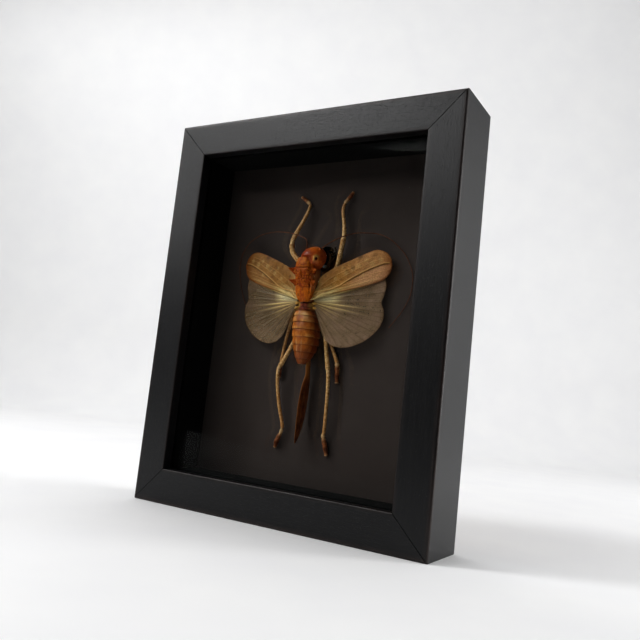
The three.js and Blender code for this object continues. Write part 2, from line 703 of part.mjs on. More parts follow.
function leg({ joints, thorns, lean }) {
  const curve = curveThrough(joints.map(([x, z, lift]) => over(x, z, lift)));
  const girth = joints.map((joint) => joint[3]);
  const radiusAt = (t) => between(girth, t);
  let body = solid(limb(curve, RINGS_PER_JOINT * (joints.length - 1), LEG_SIDES, radiusAt));
  const [x, y, z] = lean;
  thorns.forEach((t, i) => {
    const side = i % 2 === 0 ? 1 : 0.4;
    const direction = new THREE.Vector3(x * side, y - (1 - side), z).normalize();
    const foot = curve.getPoint(t).addScaledVector(direction, radiusAt(t) * 0.7);
    body = body.add(thorn(foot, direction, 1.1, 0.3, 4));
  });
  return body;
}

// Antennae: thin threads from the brow that sweep out and come down to the card
const ANTENNAE = {
  antenna_left: [
    [-2.9, 147.3, 12.4], [-8, 152.9, 11.2], [-16.7, 157.7, 9], [-29, 159.5, 6.4],
    [-40.4, 158.6, 4.2], [-49.5, 154.7, 2.4], [-55, 148.1, 1.2], [-56.3, 140.2, 0.8],
    [-54.7, 131.6, 0.7], [-51.5, 122.5, 0.7], [-47.4, 114.8, 0.7],
  ],
  antenna_right: [
    [5.6, 147.6, 11.4], [11.5, 151.9, 10.2], [17.3, 155.2, 8], [24.3, 157.5, 5.4],
    [35, 157.4, 2.6], [43, 153.9, 1.4], [51.4, 146, 0.8], [56.3, 135.9, 0.7], [56.3, 125.4, 0.7],
    [52.4, 116.3, 0.7], [45.7, 107.2, 0.7],
  ],
};
const ANTENNA_THICK = { base: 0.34, tip: 0.2, sides: 5, steps: 26 };

function antenna(route) {
  const curve = curveThrough(route.map(([x, z, lift]) => over(x, z, lift)));
  const { base, tip, sides, steps } = ANTENNA_THICK;
  return solid(limb(curve, steps, sides, (t) => base + (tip - base) * Math.min(1, 2 * t)));
}

// Pieces that meet are cut back to leave a hair's clearance
const headRoom = egg(GAP);
const thoraxRoom = trunkSolid(THORAX, 9, 14, GAP);
const abdomenRoom = trunkSolid(ABDOMEN, 12, 16, GAP + 0.15);
const sideHeadRoom = headRoom.intersect(layer(-1, COLLAR_LIFT));
const saddle = saddleSolid().subtract(thoraxRoom).subtract(sideHeadRoom);
const head = headSolid().subtract(collarRoom());
const offCard = layer(-40, CARD_CLEAR);

add(specimen, 'head', shaped(head), HEAD_SHELL);
add(specimen, 'mouthparts', shaped(mouthSolid().subtract(headRoom).subtract(offCard)), BLACK_SHELL);
add(specimen, 'pronotum', shaped(saddle), SADDLE_SHELL);
const thorax = trunkSolid(THORAX, 9, 14).subtract(headRoom).subtract(abdomenRoom);
add(specimen, 'thorax', shaped(thorax), TRUNK_SHELL);
add(specimen, 'abdomen', shaped(abdomenSolid(16)), BELLY_SHELL);
add(specimen, 'ovipositor', shaped(trunkSolid(OVIPOSITOR, 14, 10).subtract(abdomenRoom)), BLADE_SHELL);
for (const [name, form] of Object.entries(LEGS)) {
  const body = leg(form).subtract(thoraxRoom).subtract(abdomenRoom).subtract(headRoom);
  add(specimen, name, shaped(body), LIMB_SHELL);
}
for (const [name, route] of Object.entries(ANTENNAE)) {
  add(specimen, name, shaped(antenna(route).subtract(headRoom)), FEELER_SHELL);
}
for (const [side, sign] of [['left', -1], ['right', 1]]) {
  add(specimen, `forewing_${side}`, shaped(forewing(side, sign).subtract(thoraxRoom)), LEATHERY_WING);
  const membrane = hindwing(sign).subtract(thoraxRoom).subtract(abdomenRoom);
  add(specimen, `hindwing_${side}`, shaped(membrane), SMOKY_WING);
}

specimen.position.y = FRONT_Y + CARD_DEPTH;
framed.add(specimen);

export default framed;
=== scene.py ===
# A spread katydid on a charcoal card, behind glass in a deep black box frame.
# Shapes are worked out in millimetres and turned to metres when a piece is made.
# +X is the viewer's right, +Z is up and the glazed front faces -Y.
import math

import bpy
import numpy as np
from mathutils import Matrix, Vector


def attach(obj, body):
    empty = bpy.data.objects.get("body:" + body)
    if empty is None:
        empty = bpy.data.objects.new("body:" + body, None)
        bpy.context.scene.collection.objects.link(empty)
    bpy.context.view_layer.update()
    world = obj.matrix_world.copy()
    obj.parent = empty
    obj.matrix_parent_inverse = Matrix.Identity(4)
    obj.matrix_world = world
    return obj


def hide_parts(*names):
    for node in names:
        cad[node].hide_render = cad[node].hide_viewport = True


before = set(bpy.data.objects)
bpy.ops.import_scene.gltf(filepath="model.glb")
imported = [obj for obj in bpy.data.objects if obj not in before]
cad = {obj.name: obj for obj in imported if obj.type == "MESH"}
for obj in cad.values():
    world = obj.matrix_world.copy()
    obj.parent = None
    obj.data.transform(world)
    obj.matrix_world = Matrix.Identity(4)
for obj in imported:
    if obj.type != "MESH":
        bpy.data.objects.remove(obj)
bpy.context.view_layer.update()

MM = 0.001

# The case
FRAME_WIDTH = 178.0
FRAME_HEIGHT = 220.0
FRAME_DEPTH = 35.0
RAIL_FACE = 19.0
LIP_DEPTH = 6.0
RABBET = 6.0
GAP = 0.3
CARD_DEPTH = 29.7
HANGER = {
    "length": 46, "height": 9, "thick": 0.9, "teeth": 10, "tooth": 1.8, "nail_gap": 36, "round": 2.4, "rise": 0.9,
}
HANGER_PROUD = GAP + HANGER["thick"] + HANGER["rise"]
FRONT_Y = -(FRAME_DEPTH + HANGER_PROUD) / 2
CARD_Y = FRONT_Y + CARD_DEPTH
MIDDLE_Z = FRAME_HEIGHT / 2

# The camera of the photograph, in mm
CAMERA_AT = (202.03, -317.84, 65.3)
LOOK_ALONG = (-0.51381, 0.85008, 0.11558)
CAMERA_UP = (-0.03394, -0.15475, 0.98737)
LENS, SENSOR_WIDTH, NEAREST = 39.28, 36.0, 10.0

camera = bpy.data.objects.new("Camera", bpy.data.cameras.new("Camera"))
bpy.context.collection.objects.link(camera)
look = Vector(LOOK_ALONG).normalized()
across = look.cross(Vector(CAMERA_UP)).normalized()
turned = Matrix((across, across.cross(look), -look)).transposed().to_4x4()
camera.matrix_world = Matrix.Translation(Vector(CAMERA_AT) * MM) @ turned
camera.data.lens = LENS
camera.data.sensor_width = SENSOR_WIDTH
camera.data.clip_start = NEAREST * MM
bpy.context.scene.camera = camera


# ---- numbers and shapes ----

def between(values, t, pull=0.5):
    """Evenly spaced values read as one smooth curve, at t from 0 to 1"""
    values = np.asarray(values, float)
    last = len(values) - 1
    at = np.clip(t, 0, 1) * last
    i = np.minimum(np.floor(at).astype(int), last - 1)
    f = at - i
    f = f[..., None] if values.ndim > 1 else f
    here, nxt = values[i], values[i + 1]
    slope_here = (nxt - values[np.maximum(i - 1, 0)]) * pull
    slope_next = (values[np.minimum(i + 2, last)] - here) * pull
    rise = nxt - here
    bend = 3 * rise - 2 * slope_here - slope_next
    return here + f * (slope_here + f * (bend + f * (slope_here + slope_next - 2 * rise)))


def step(low, high, value):
    """0 on the low side, 1 on the high side, smooth between"""
    f = np.clip((value - low) / (high - low), 0, 1)
    return f * f * (3 - 2 * f)


def hump(value, middle, width):
    """1 at the middle, falling off over about the width"""
    return np.exp(-((value - middle) / width) ** 2)


def capped(value):
    return np.clip(value, 0, 1)


def unit(vectors):
    """Vectors scaled to a length of 1"""
    vectors = np.asarray(vectors, float)
    return vectors / (np.linalg.norm(vectors, axis=-1, keepdims=True) + 1e-12)


def distance(points, spot):
    return np.linalg.norm(points - np.asarray(spot, float), axis=-1)


def over(x, z, lift):
    """Points at x and z on the card, lifted off it"""
    x, z, lift = np.broadcast_arrays(np.asarray(x, float), z, lift)
    return np.stack([x, CARD_Y - lift, z], axis=-1)


def off_card(points):
    """Points kept clear of the card"""
    return np.stack([points[:, 0], np.minimum(points[:, 1], CARD_Y - GAP), points[:, 2]], axis=-1)


def shares_and_turns(rows, sides):
    """Shares of a body's length, down the rows, and angles round it, across them"""
    return np.linspace(0, 1, rows)[:, None], np.linspace(0, 2 * np.pi, sides, endpoint=False)[None, :]


# A lattice of random values, how its cells are scattered, and how far seeds and octaves shift it
LATTICE = np.random.default_rng(7).random(4096) * 2 - 1
SCATTER = np.array([73856093, 19349663, 83492791])
SEED_SHIFT, OCTAVE_SHIFT = 17.3, 5.1


def rough(points, size, seed=0, octaves=3):
    """Smooth relief from about -1 to 1, with forms of about that size in mm"""
    total = np.zeros(points.shape[:-1])
    for octave in range(octaves):
        spot = points / size * 2 ** octave + SEED_SHIFT * seed + OCTAVE_SHIFT * octave
        cell = np.floor(spot).astype(np.int64)
        f = spot - cell
        f = f * f * (3 - 2 * f)
        value = 0
        for corner in range(8):
            bits = np.array([corner & 1, corner >> 1 & 1, corner >> 2 & 1])
            key = (cell + bits) * SCATTER
            share = np.prod(np.where(bits == 1, f, 1 - f), axis=-1)
            value = value + share * LATTICE[(key[..., 0] ^ key[..., 1] ^ key[..., 2]) & (len(LATTICE) - 1)]
        total += value * 0.5 ** octave
    return total


def nearness(spots, route, width):
    """1 on a line through the route, falling off over about that width"""
    route = np.asarray(route, float)
    best = np.full(spots.shape[:-1], np.inf)
    for a, b in zip(route[:-1], route[1:]):
        along = b - a
        f = capped(((spots - a) @ along) / (along @ along))
        best = np.minimum(best, np.linalg.norm(spots - (a + f[..., None] * along), axis=-1))
    return np.exp(-(best / width) ** 2)


def forward_normals(grid):
    """Unit normals of a grid of points, towards the front at its middle"""
    n = unit(np.cross(np.gradient(grid, axis=0), np.gradient(grid, axis=1)))
    return n if n[n.shape[0] // 2, n.shape[1] // 2, 1] < 0 else -n


# A form is its points in mm, its faces, and its marks: a value for each point that a finish can read

def grid_faces(rows, columns, ring, start=0):
    faces = []
    for i in range(rows - 1):
        for j in range(columns if ring else columns - 1):
            a = start + i * columns + j
            b = start + i * columns + (j + 1) % columns
            faces.append((a, b, b + columns, a + columns))
    return faces


def loft(rings, **marks):
    """Rings of points skinned into a closed form, with a hub at each end"""
    rings = np.asarray(rings, float)
    rows, sides = rings.shape[:2]
    faces = grid_faces(rows, sides, True)
    last = (rows - 1) * sides
    hubs = rows * sides
    for j in range(sides):
        faces.append((hubs, (j + 1) % sides, j))
        faces.append((hubs + 1, last + j, last + (j + 1) % sides))
    points = np.concatenate([rings.reshape(-1, 3), [rings[0].mean(axis=0), rings[-1].mean(axis=0)]])
    full = {}
    for name, value in marks.items():
        value = np.broadcast_to(value, (rows, sides)).reshape(-1)
        full[name] = np.concatenate([value, [value[:sides].mean(), value[-sides:].mean()]])
    return points, faces, full


def sheet(upper, lower, **marks):
    """Two grids of points joined round their border into one thin form"""
    rows, columns = upper.shape[:2]
    under = rows * columns
    faces = grid_faces(rows, columns, False)
    faces += [tuple(reversed(f)) for f in grid_faces(rows, columns, False, under)]
    rim = list(range(columns)) + [i * columns + columns - 1 for i in range(1, rows)]
    rim += [(rows - 1) * columns + j for j in range(columns - 2, -1, -1)]
    rim += [i * columns for i in range(rows - 2, 0, -1)]
    for a, b in zip(rim, rim[1:] + rim[:1]):
        faces.append((b, a, under + a, under + b))
    points = np.concatenate([upper.reshape(-1, 3), lower.reshape(-1, 3)])
    full = {name: np.tile(np.broadcast_to(value, (rows, columns)).reshape(-1), 2) for name, value in marks.items()}
    return points, faces, full


def tube(path, radius, sides=14, flat=1.0, **marks):
    """A closed tube along a path; flat squeezes it front to back"""
    path = np.asarray(path, float)
    count = len(path)
    radius = np.broadcast_to(radius, count)
    along = unit(np.gradient(path, axis=0))
    turn = np.linspace(0, 2 * np.pi, sides, endpoint=False)
    normal = np.array([0.0, -1.0, 0.0]) if abs(along[0, 1]) < 0.9 else np.array([1.0, 0.0, 0.0])
    rings = []
    for i in range(count):
        normal = unit(normal - (normal @ along[i]) * along[i])
        offset = np.outer(np.cos(turn) * flat, normal) + np.outer(np.sin(turn), np.cross(along[i], normal))
        rings.append(path[i] + radius[i] * offset)
    return loft(rings, **{name: np.reshape(value, (-1, 1)) for name, value in marks.items()})


def joined(*forms):
    """Several forms as one; a mark that a form lacks is 0 on it"""
    names = {name for _, _, marks in forms for name in marks}
    points, faces, marks, start = [], [], {name: [] for name in names}, 0
    for spots, flats, own in forms:
        points.append(spots)
        faces += [tuple(start + k for k in face) for face in flats]
        for name in names:
            marks[name].append(own.get(name, np.zeros(len(spots))))
        start += len(spots)
    return np.concatenate(points), faces, {name: np.concatenate(value) for name, value in marks.items()}


def modelled(name, points, faces, finish):
    """A smooth mesh from points in mm, with its finish"""
    mesh = bpy.data.meshes.new(name)
    mesh.from_pydata((points * MM).tolist(), [], [list(map(int, face)) for face in faces])
    mesh.polygons.foreach_set("use_smooth", [True] * len(mesh.polygons))
    mesh.materials.append(finish)
    made = bpy.data.objects.new(name, mesh)
    bpy.context.collection.objects.link(made)
    return made


def make(name, form, finish, stands_for=None, slot=None, sharp=None):
    """Makes a piece of the model from a form, and ties it to the frame; edges over the angle sharp stay sharp"""
    points, faces, marks = form
    made = modelled(name, points, faces, finish)
    for mark, value in marks.items():
        kind, field = ("FLOAT_VECTOR", "vector") if value.ndim == 2 else ("FLOAT", "value")
        layer = made.data.attributes.new(mark, kind, "POINT")
        layer.data.foreach_set(field, value.astype(np.float32).ravel())
    if sharp is not None:
        made.data.set_sharp_from_angle(angle=math.radians(sharp))
    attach(made, "root")
    if stands_for:
        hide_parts(stands_for)
    return made


def break_edges(piece, width_mm, angle=40):
    """Rounds the edges of a piece that turn by more than the angle"""
    bevel = piece.modifiers.new("edge", "BEVEL")
    bevel.width = width_mm * MM
    bevel.segments = 2
    bevel.limit_method = "ANGLE"
    bevel.angle_limit = math.radians(angle)


# ---- finishes ----

def linear(code):
    """An sRGB hex colour as linear red, green, blue and alpha"""
    parts = [int(code[k:k + 2], 16) / 255 for k in (1, 3, 5)]
    return tuple(c / 12.92 if c <= 0.04045 else ((c + 0.055) / 1.055) ** 2.4 for c in parts) + (1.0,)


def add(tree, kind, feeds=None, stops=(), out=0, **settings):
    """Adds a node with its settings, the stops of its ramp and its inputs, and gives one of its outputs"""
    made = tree.nodes.new("ShaderNode" + kind)
    for name, value in settings.items():
        setattr(made, name, value)
    for k, (place, value) in enumerate(stops):
        ramp = made.color_ramp
        stop = ramp.elements[k] if k < 2 else ramp.elements.new(place)
        stop.position = place
        stop.color = linear(value) if isinstance(value, str) else (value, value, value, 1.0)
    for key, value in (feeds or {}).items():
        if isinstance(value, bpy.types.NodeSocket):
            tree.links.new(value, made.inputs[key])
        else:
            made.inputs[key].default_value = linear(value) if isinstance(value, str) else value
    return made.outputs[out] if made.outputs else None


def begin(name):
    """A material with an empty tree"""
    material = bpy.data.materials.new(name)
    material.use_nodes = True
    material.node_tree.nodes.clear()
    return material, material.node_tree


def in_millimetres(tree, stretch=(1, 1, 1)):
    """The point on the surface in mm of the object's own space, with each axis stretched"""
    place = add(tree, "TexCoord", out="Object")
    return add(tree, "Mapping", {"Vector": place, "Scale": tuple(1000 * s for s in stretch)})


def summed(tree, first, share, second, other):
    """Two patterns added up, each by its own share"""
    second = add(tree, "Math", {0: second, 1: other}, operation="MULTIPLY")
    return add(tree, "Math", {0: first, 1: share, 2: second}, operation="MULTIPLY_ADD")


def laid(tree, colour, over_it, share, strength):
    """A colour with another laid over it, by a share of the surface times a strength"""
    part = add(tree, "Math", {0: share, 1: strength}, operation="MULTIPLY")
    return add(tree, "Mix", {0: part, 6: colour, 7: over_it}, out=2, data_type="RGBA")


def marked(tree, colour, marks, speckle=1.0):
    """A colour with others laid over it in turn, each where the shape carries the mark of its name"""
    for mark, over_it, strength in marks:
        share = add(tree, "Attribute", out="Fac", attribute_name=mark)
        share = add(tree, "Math", {0: share, 1: strength}, operation="MULTIPLY")
        colour = laid(tree, colour, over_it, share, speckle)
    return colour


def surfaced(material, colour, roughness, relief, strength, depth_mm, **gloss):
    """Ends a material with its shader: colour, roughness, a relief of that depth, and what makes it shine"""
    tree = material.node_tree
    bump = add(tree, "Bump", {"Height": relief, "Strength": strength, "Distance": depth_mm * MM})
    feeds = {name.replace("_", " "): value for name, value in gloss.items()}
    shader = add(tree, "BsdfPrincipled", {"Base Color": colour, "Roughness": roughness, "Normal": bump, **feeds})
    add(tree, "OutputMaterial", {"Surface": shader})
    return material


def black_stained_wood():
    """Pine moulding, planed, brushed and stained black: matt, with raised grain, open pores and a little dust"""
    material, tree = begin("black_stained_wood")
    grain = add(tree, "Attribute", out="Vector", attribute_name="grain")
    # Grain streaks are about 0.5 mm wide and 15 mm long; pores are 0.2 mm by 2.5 mm
    streak_at = add(tree, "Mapping", {"Vector": grain, "Scale": (1.9, 1.9, 0.06)})
    streaks = add(tree, "TexNoise", {"Vector": streak_at, "Scale": 1.0, "Detail": 5.0, "Roughness": 0.62})
    pore_at = add(tree, "Mapping", {"Vector": grain, "Scale": (4.6, 4.6, 0.42)})
    pores = add(tree, "TexNoise", {"Vector": pore_at, "Scale": 1.0, "Detail": 2.0})
    pits = add(tree, "ValToRGB", {"Fac": pores}, [(0.32, 0.0), (0.42, 1.0)])
    stain = add(tree, "ValToRGB", {"Fac": streaks}, [(0.25, "#08080a"), (0.78, "#161617"), (0.5, "#0e0e10")])
    # Dust lies in specks of 0.3 mm or less, a few millimetres apart
    dust = add(tree, "TexVoronoi", {"Vector": grain, "Scale": 0.42, "Randomness": 1.0})
    specks = add(tree, "ValToRGB", {"Fac": dust}, [(0.035, 1.0), (0.06, 0.0)])
    worn = add(tree, "Attribute", out="Fac", attribute_name="worn")
    ridges = add(tree, "ValToRGB", {"Fac": streaks}, [(0.4, 0.15), (0.7, 0.8)])
    colour = laid(tree, stain, "#3c2c26", worn, ridges)
    colour = laid(tree, colour, "#77726c", specks, 0.45)
    gloss = add(tree, "MapRange", {"Value": streaks, "To Min": 0.36, "To Max": 0.46})
    return surfaced(material, colour, gloss, summed(tree, streaks, 0.6, pits, 0.5), 0.55, 0.12, IOR=1.47)


def picture_glass():
    """Picture glass with an anti-reflection coating: nearly all light goes straight through, a faint gloss is left"""
    material, tree = begin("coated_picture_glass")
    pane = add(tree, "BsdfPrincipled", {
        "Base Color": "#fbfdfc", "Roughness": 0.0, "IOR": 1.5, "Transmission Weight": 1.0,
    })
    clear = add(tree, "BsdfTransparent", {"Color": "#fafcfb"})
    add(tree, "OutputMaterial", {"Surface": add(tree, "MixShader", {0: 0.97, 1: pane, 2: clear})})
    return material


def board(name, low, high, grit_mm, roughness=0.92, relief_mm=0.03):
    """Paper-faced or pressed board: dead matt, with a fine mottle of its fibres"""
    material, tree = begin(name)
    place = in_millimetres(tree)
    mottle = add(tree, "TexNoise", {"Vector": place, "Scale": 1 / grit_mm, "Detail": 6.0, "Roughness": 0.7})
    cloud = add(tree, "TexNoise", {"Vector": place, "Scale": 1 / (60 * grit_mm), "Detail": 2.0})
    colour = add(tree, "ValToRGB", {"Fac": summed(tree, mottle, 0.7, cloud, 0.3)}, [(0.3, low), (0.7, high)])
    return surfaced(material, colour, roughness, mottle, 0.5, relief_mm, IOR=1.45, Specular_IOR_Level=0.25)


def sheet_metal(name, dark, bright, roughness):
    """Stamped sheet metal: long fine rolling marks, 0.4 mm wide and 8 mm long, duller in patches of 4 mm"""
    material, tree = begin(name)
    rolled = add(tree, "TexNoise", {"Vector": in_millimetres(tree, (2.5, 2.5, 0.12)), "Scale": 1.0, "Detail": 4.0})
    dull = add(tree, "TexNoise", {"Vector": in_millimetres(tree), "Scale": 0.25, "Detail": 3.0})
    colour = add(tree, "ValToRGB", {"Fac": dull}, [(0.35, dark), (0.65, bright)])
    gloss = add(tree, "MapRange", {"Value": rolled, "To Min": roughness, "To Max": roughness + 0.18})
    return surfaced(material, colour, gloss, rolled, 0.3, 0.02, Metallic=1.0)


def dry_shell(name, base, dark, marks=(), roughness=0.42, mottle_mm=1.6, relief_mm=0.03,
              spread=(0.36, 0.66), shine=0.14):
    """Dried insect shell: hard and satin, clouded in colour, with a fine leathery grain that breaks up its marks"""
    material, tree = begin(name)
    place, grain_mm = in_millimetres(tree), 0.35
    cloud = add(tree, "TexNoise", {"Vector": place, "Scale": 1 / mottle_mm, "Detail": 4.0, "Roughness": 0.6})
    grain = add(tree, "TexNoise", {"Vector": place, "Scale": 1 / grain_mm, "Detail": 3.0})
    colour = add(tree, "ValToRGB", {"Fac": cloud}, [(spread[0], dark), (spread[1], base)])
    speckle = add(tree, "Math", {0: grain, 1: 0.5, 2: 0.75}, operation="MULTIPLY_ADD")
    colour = marked(tree, colour, marks, speckle)
    gloss = add(tree, "MapRange", {"Value": cloud, "To Min": roughness + 0.1, "To Max": roughness - 0.06})
    return surfaced(material, colour, gloss, grain, 0.6, relief_mm, IOR=1.54, Specular_IOR_Level=shine)


def leathery_wing():
    """The dried forewing: parchment-like, with a net of fine veins, pale rings, cream at the root and a rusty rim"""
    material, tree = begin("leathery_wing")
    cloud = add(tree, "TexNoise", {"Vector": in_millimetres(tree), "Scale": 0.22, "Detail": 4.0, "Roughness": 0.6})
    colour = add(tree, "ValToRGB", {"Fac": cloud}, [(0.34, "#96621f"), (0.66, "#d0924a"), (0.5, "#b47a30")])
    colour = marked(tree, colour, (
        ("shade", "#5e3c12", 0.45), ("rosy", "#eaae80", 0.9), ("rust", "#95480e", 0.9),
        ("cream", "#fadb98", 1.0), ("ring", "#f0cc84", 0.55), ("blot", "#5d3a14", 0.8),
    ))
    # The net's cells are about 1.1 mm along the wing and 0.7 mm across
    flow = add(tree, "Attribute", out="Vector", attribute_name="flow")
    net_at = add(tree, "Mapping", {"Vector": flow, "Scale": (0.9, 1.5, 1.0)})
    net = add(tree, "TexVoronoi", {"Vector": net_at, "Scale": 1.0, "Randomness": 0.85}, feature="DISTANCE_TO_EDGE")
    line = add(tree, "ValToRGB", {"Fac": net}, [(0.02, 1.0), (0.12, 0.0)])
    colour = laid(tree, colour, "#764812", line, 0.42)
    colour = marked(tree, colour, (("vein", "#e8b46c", 0.65), ("gully", "#4b2c0e", 0.65)))
    return surfaced(material, colour, 0.5, line, 0.55, 0.06, IOR=1.5, Specular_IOR_Level=0.2)


def smoky_membrane():
    """The dried hindwing: a clear smoky film that shows the dark card, on fine veins, with cream at its root"""
    material, tree = begin("smoky_membrane")
    cloud = add(tree, "TexNoise", {"Vector": in_millimetres(tree), "Scale": 0.16, "Detail": 3.0})
    colour = add(tree, "ValToRGB", {"Fac": cloud}, [(0.35, "#ae9070"), (0.65, "#c4a086")])
    colour = marked(tree, colour, (
        ("dusk", "#7e6644", 0.7), ("cream", "#fbd68c", 0.95), ("milk", "#fff2c4", 0.85),
        # The rust colour is partly painted shadow, between the root's folds
        ("rust", "#a06a34", 0.5), ("vein", "#4a2e14", 0.7),
    ))
    # Short cross veins between the long ones, about 1.5 mm apart
    flow = add(tree, "Attribute", out="Vector", attribute_name="flow")
    cross_at = add(tree, "Mapping", {"Vector": flow, "Scale": (0.65, 1.0, 1.0)})
    net = add(tree, "TexVoronoi", {"Vector": cross_at, "Scale": 1.0, "Randomness": 0.6}, feature="DISTANCE_TO_EDGE")
    line = add(tree, "ValToRGB", {"Fac": net}, [(0.015, 1.0), (0.07, 0.0)])
    colour = laid(tree, colour, "#6b4c2c", line, 0.3)
    # The film hides 0.56 of what is behind it, and more at its veins and its root
    vein, cream = (add(tree, "Attribute", out="Fac", attribute_name=mark) for mark in ("vein", "cream"))
    solid = add(tree, "Math", {0: summed(tree, vein, 0.3, cream, 0.45), 1: 0.56}, operation="ADD")
    solid = add(tree, "Clamp", {"Value": solid, "Min": 0.0, "Max": 0.97})
    return surfaced(material, colour, 0.45, line, 0.35, 0.04, IOR=1.5, Specular_IOR_Level=0.3, Alpha=solid)


WOOD = black_stained_wood()
GLASS = picture_glass()
CARD = board("charcoal_paper_board", "#463c3a", "#504643", 0.25)
BLACK_BOARD = board("black_paper_board", "#070708", "#0e0e0f", 0.25)
HARDBOARD = board("brown_pressed_hardboard", "#5d432a", "#7d5d3e", 0.5, 0.8, 0.06)
STEEL = sheet_metal("bright_rolled_steel", "#9c9c98", "#c9c9c5", 0.28)
BRASSED = sheet_metal("brass_plated_steel", "#9a7433", "#c69c4f", 0.25)
HEAD_SHELL = dry_shell("orange_red_head_shell", "#d86c20", "#b84c16", (
    ("red", "#841c04", 0.85), ("orbit", "#e0b466", 0.85), ("crown", "#d27224", 0.6),
), roughness=0.38, shine=0.28)
EYE_SHELL = dry_shell("dried_dark_eye", "#4a2110", "#2a0f06", (
    ("rim", "#6b3614", 0.8),
), roughness=0.25, relief_mm=0.01)
BLACK_SHELL = dry_shell("glossy_black_jaw_shell", "#090605", "#030202", roughness=0.16, relief_mm=0.008, shine=0.4)
SADDLE_SHELL = dry_shell("wrinkled_orange_saddle_shell", "#d47410", "#b2560a", (
    # The pit colour is partly painted shade, in the wrinkles' hollows and along two grooves
    ("rough", "#b05614", 0.75), ("pit", "#561c04", 0.9), ("band", "#cf8c40", 0.25), ("red", "#a03c14", 0.7),
    # The lobe colour is painted light on the shaded side lobes, and the rim colour a painted highlight along their
    # lower edge
    ("lobe", "#f09c60", 0.95), ("rim", "#dcae5c", 0.8),
), roughness=0.48, relief_mm=0.05)
TRUNK_SHELL = dry_shell("red_brown_trunk_shell", "#94422c", "#5c2014", (
    ("pale", "#dfae5c", 0.9), ("dark", "#35130b", 0.8),
), roughness=0.5, mottle_mm=1.1)
# The hem colour is a pale hem with a painted highlight on each ring's swell; the fold colour is a dark joint line
# with painted shade over the front of each ring
BELLY_SHELL = dry_shell("tan_orange_belly_shell", "#d88430", "#b45c1a", (
    ("hem", "#ecb468", 0.8), ("flank", "#7a2e0c", 0.9), ("tail", "#8a4012", 0.85),
    ("pale", "#ecc088", 0.9), ("fold", "#5a2208", 0.95),
), roughness=0.38, mottle_mm=1.8, relief_mm=0.04, shine=0.28)
BLADE_SHELL = dry_shell("brown_blade_shell", "#a05a26", "#682e0e", (
    # The ridge colour is a painted highlight
    ("stalk", "#bc7a3c", 0.8), ("ridge", "#c47a38", 0.75),
), roughness=0.36, mottle_mm=3.0, shine=0.26)
LIMB_SHELL = dry_shell("straw_limb_shell", "#f4ca92", "#c08a50", (
    ("shin", "#bc7c42", 0.6), ("foot", "#9a5226", 0.9), ("knee", "#8a5420", 0.45), ("joint", "#ecc894", 0.75),
    ("pad", "#5c2a12", 0.85), ("thorn", "#3a1c0a", 0.95),
), roughness=0.42, mottle_mm=1.2, spread=(0.4, 0.6), shine=0.26)
FEELER_SHELL = dry_shell("red_tan_feeler_shell", "#7c4a32", "#56301f", roughness=0.5)
LEATHERY = leathery_wing()
SMOKY = smoky_membrane()


# ---- the case ----

def arc(centre, radius, start, end, steps=6):
    """Points of a round corner, by angles in degrees"""
    turns = np.radians(np.linspace(start, end, steps + 1))
    return [(centre[0] + radius * math.cos(a), centre[1] + radius * math.sin(a)) for a in turns]


def moulding_section():
    """u runs inwards across the face and v back from the front, with points along the long sides"""
    outer, inner, soft, spacing = 1.2, 0.6, 0.4, 1.5
    wall = RAIL_FACE - RABBET
    corners = (
        arc((outer, outer), outer, 180, 270)
        + arc((RAIL_FACE - inner, inner), inner, 270, 360)
        + [(RAIL_FACE, LIP_DEPTH), (wall, LIP_DEPTH)]
        + arc((wall - soft, FRAME_DEPTH - soft), soft, 0, 90, 3)
        + arc((soft, FRAME_DEPTH - soft), soft, 90, 180, 3)
    )
    points = []
    for a, b in zip(corners, corners[1:] + corners[:1]):
        steps = max(1, round(math.dist(a, b) / spacing))
        points += [(a[0] + (b[0] - a[0]) * k / steps, a[1] + (b[1] - a[1]) * k / steps) for k in range(steps)]
    return np.array(points).T


def rail(name, length, middle, turn, seed):
    """A mitred rail with its outer edge on the frame's outline; its grain runs along it"""
    u, v = moulding_section()
    mitre_gap = GAP * math.sqrt(2) / 4
    stations = 61
    station = np.linspace(-1, 1, stations)[:, None]
    along = station * (length / 2 - u - mitre_gap)
    # All but the outer edge wavers by 0.05 mm, as planed wood does, and the rounded front edges are rubbed
    wave = 0.05 * np.sin(along / 23 + seed) * (1 - np.abs(station))
    inwards = u + np.where(u > 1, wave, 0)
    worn = hump(u + v, 0.7, 0.9) + 0.7 * hump(np.hypot(u - RAIL_FACE, v), 0, 0.9)
    c, s = math.cos(turn), math.sin(turn)
    rings = np.stack([
        along * c + inwards * s + middle[0],
        v + FRONT_Y + 0 * along,
        -along * s + inwards * c + middle[1],
    ], axis=-1)
    points, faces, marks = loft(rings, worn=worn)
    # Each rail is cut from its own part of the wood
    grain = np.stack([u + 40 * seed + 0 * along, v + 31 * seed + 0 * along, along], axis=-1).reshape(-1, 3)
    marks["grain"] = np.concatenate([grain, grain[:1], grain[-1:]])
    made = make(name.capitalize(), (points, faces, marks), WOOD, name, "stained_wood", sharp=30)
    break_edges(made, 0.12)


def refinish(node, finish, edge_mm=0.0):
    """Keeps a node of the frame, with a finish and softly broken edges"""
    own = cad[node]
    own.data.materials.clear()
    own.data.materials.append(finish)
    if edge_mm:
        break_edges(own, edge_mm)


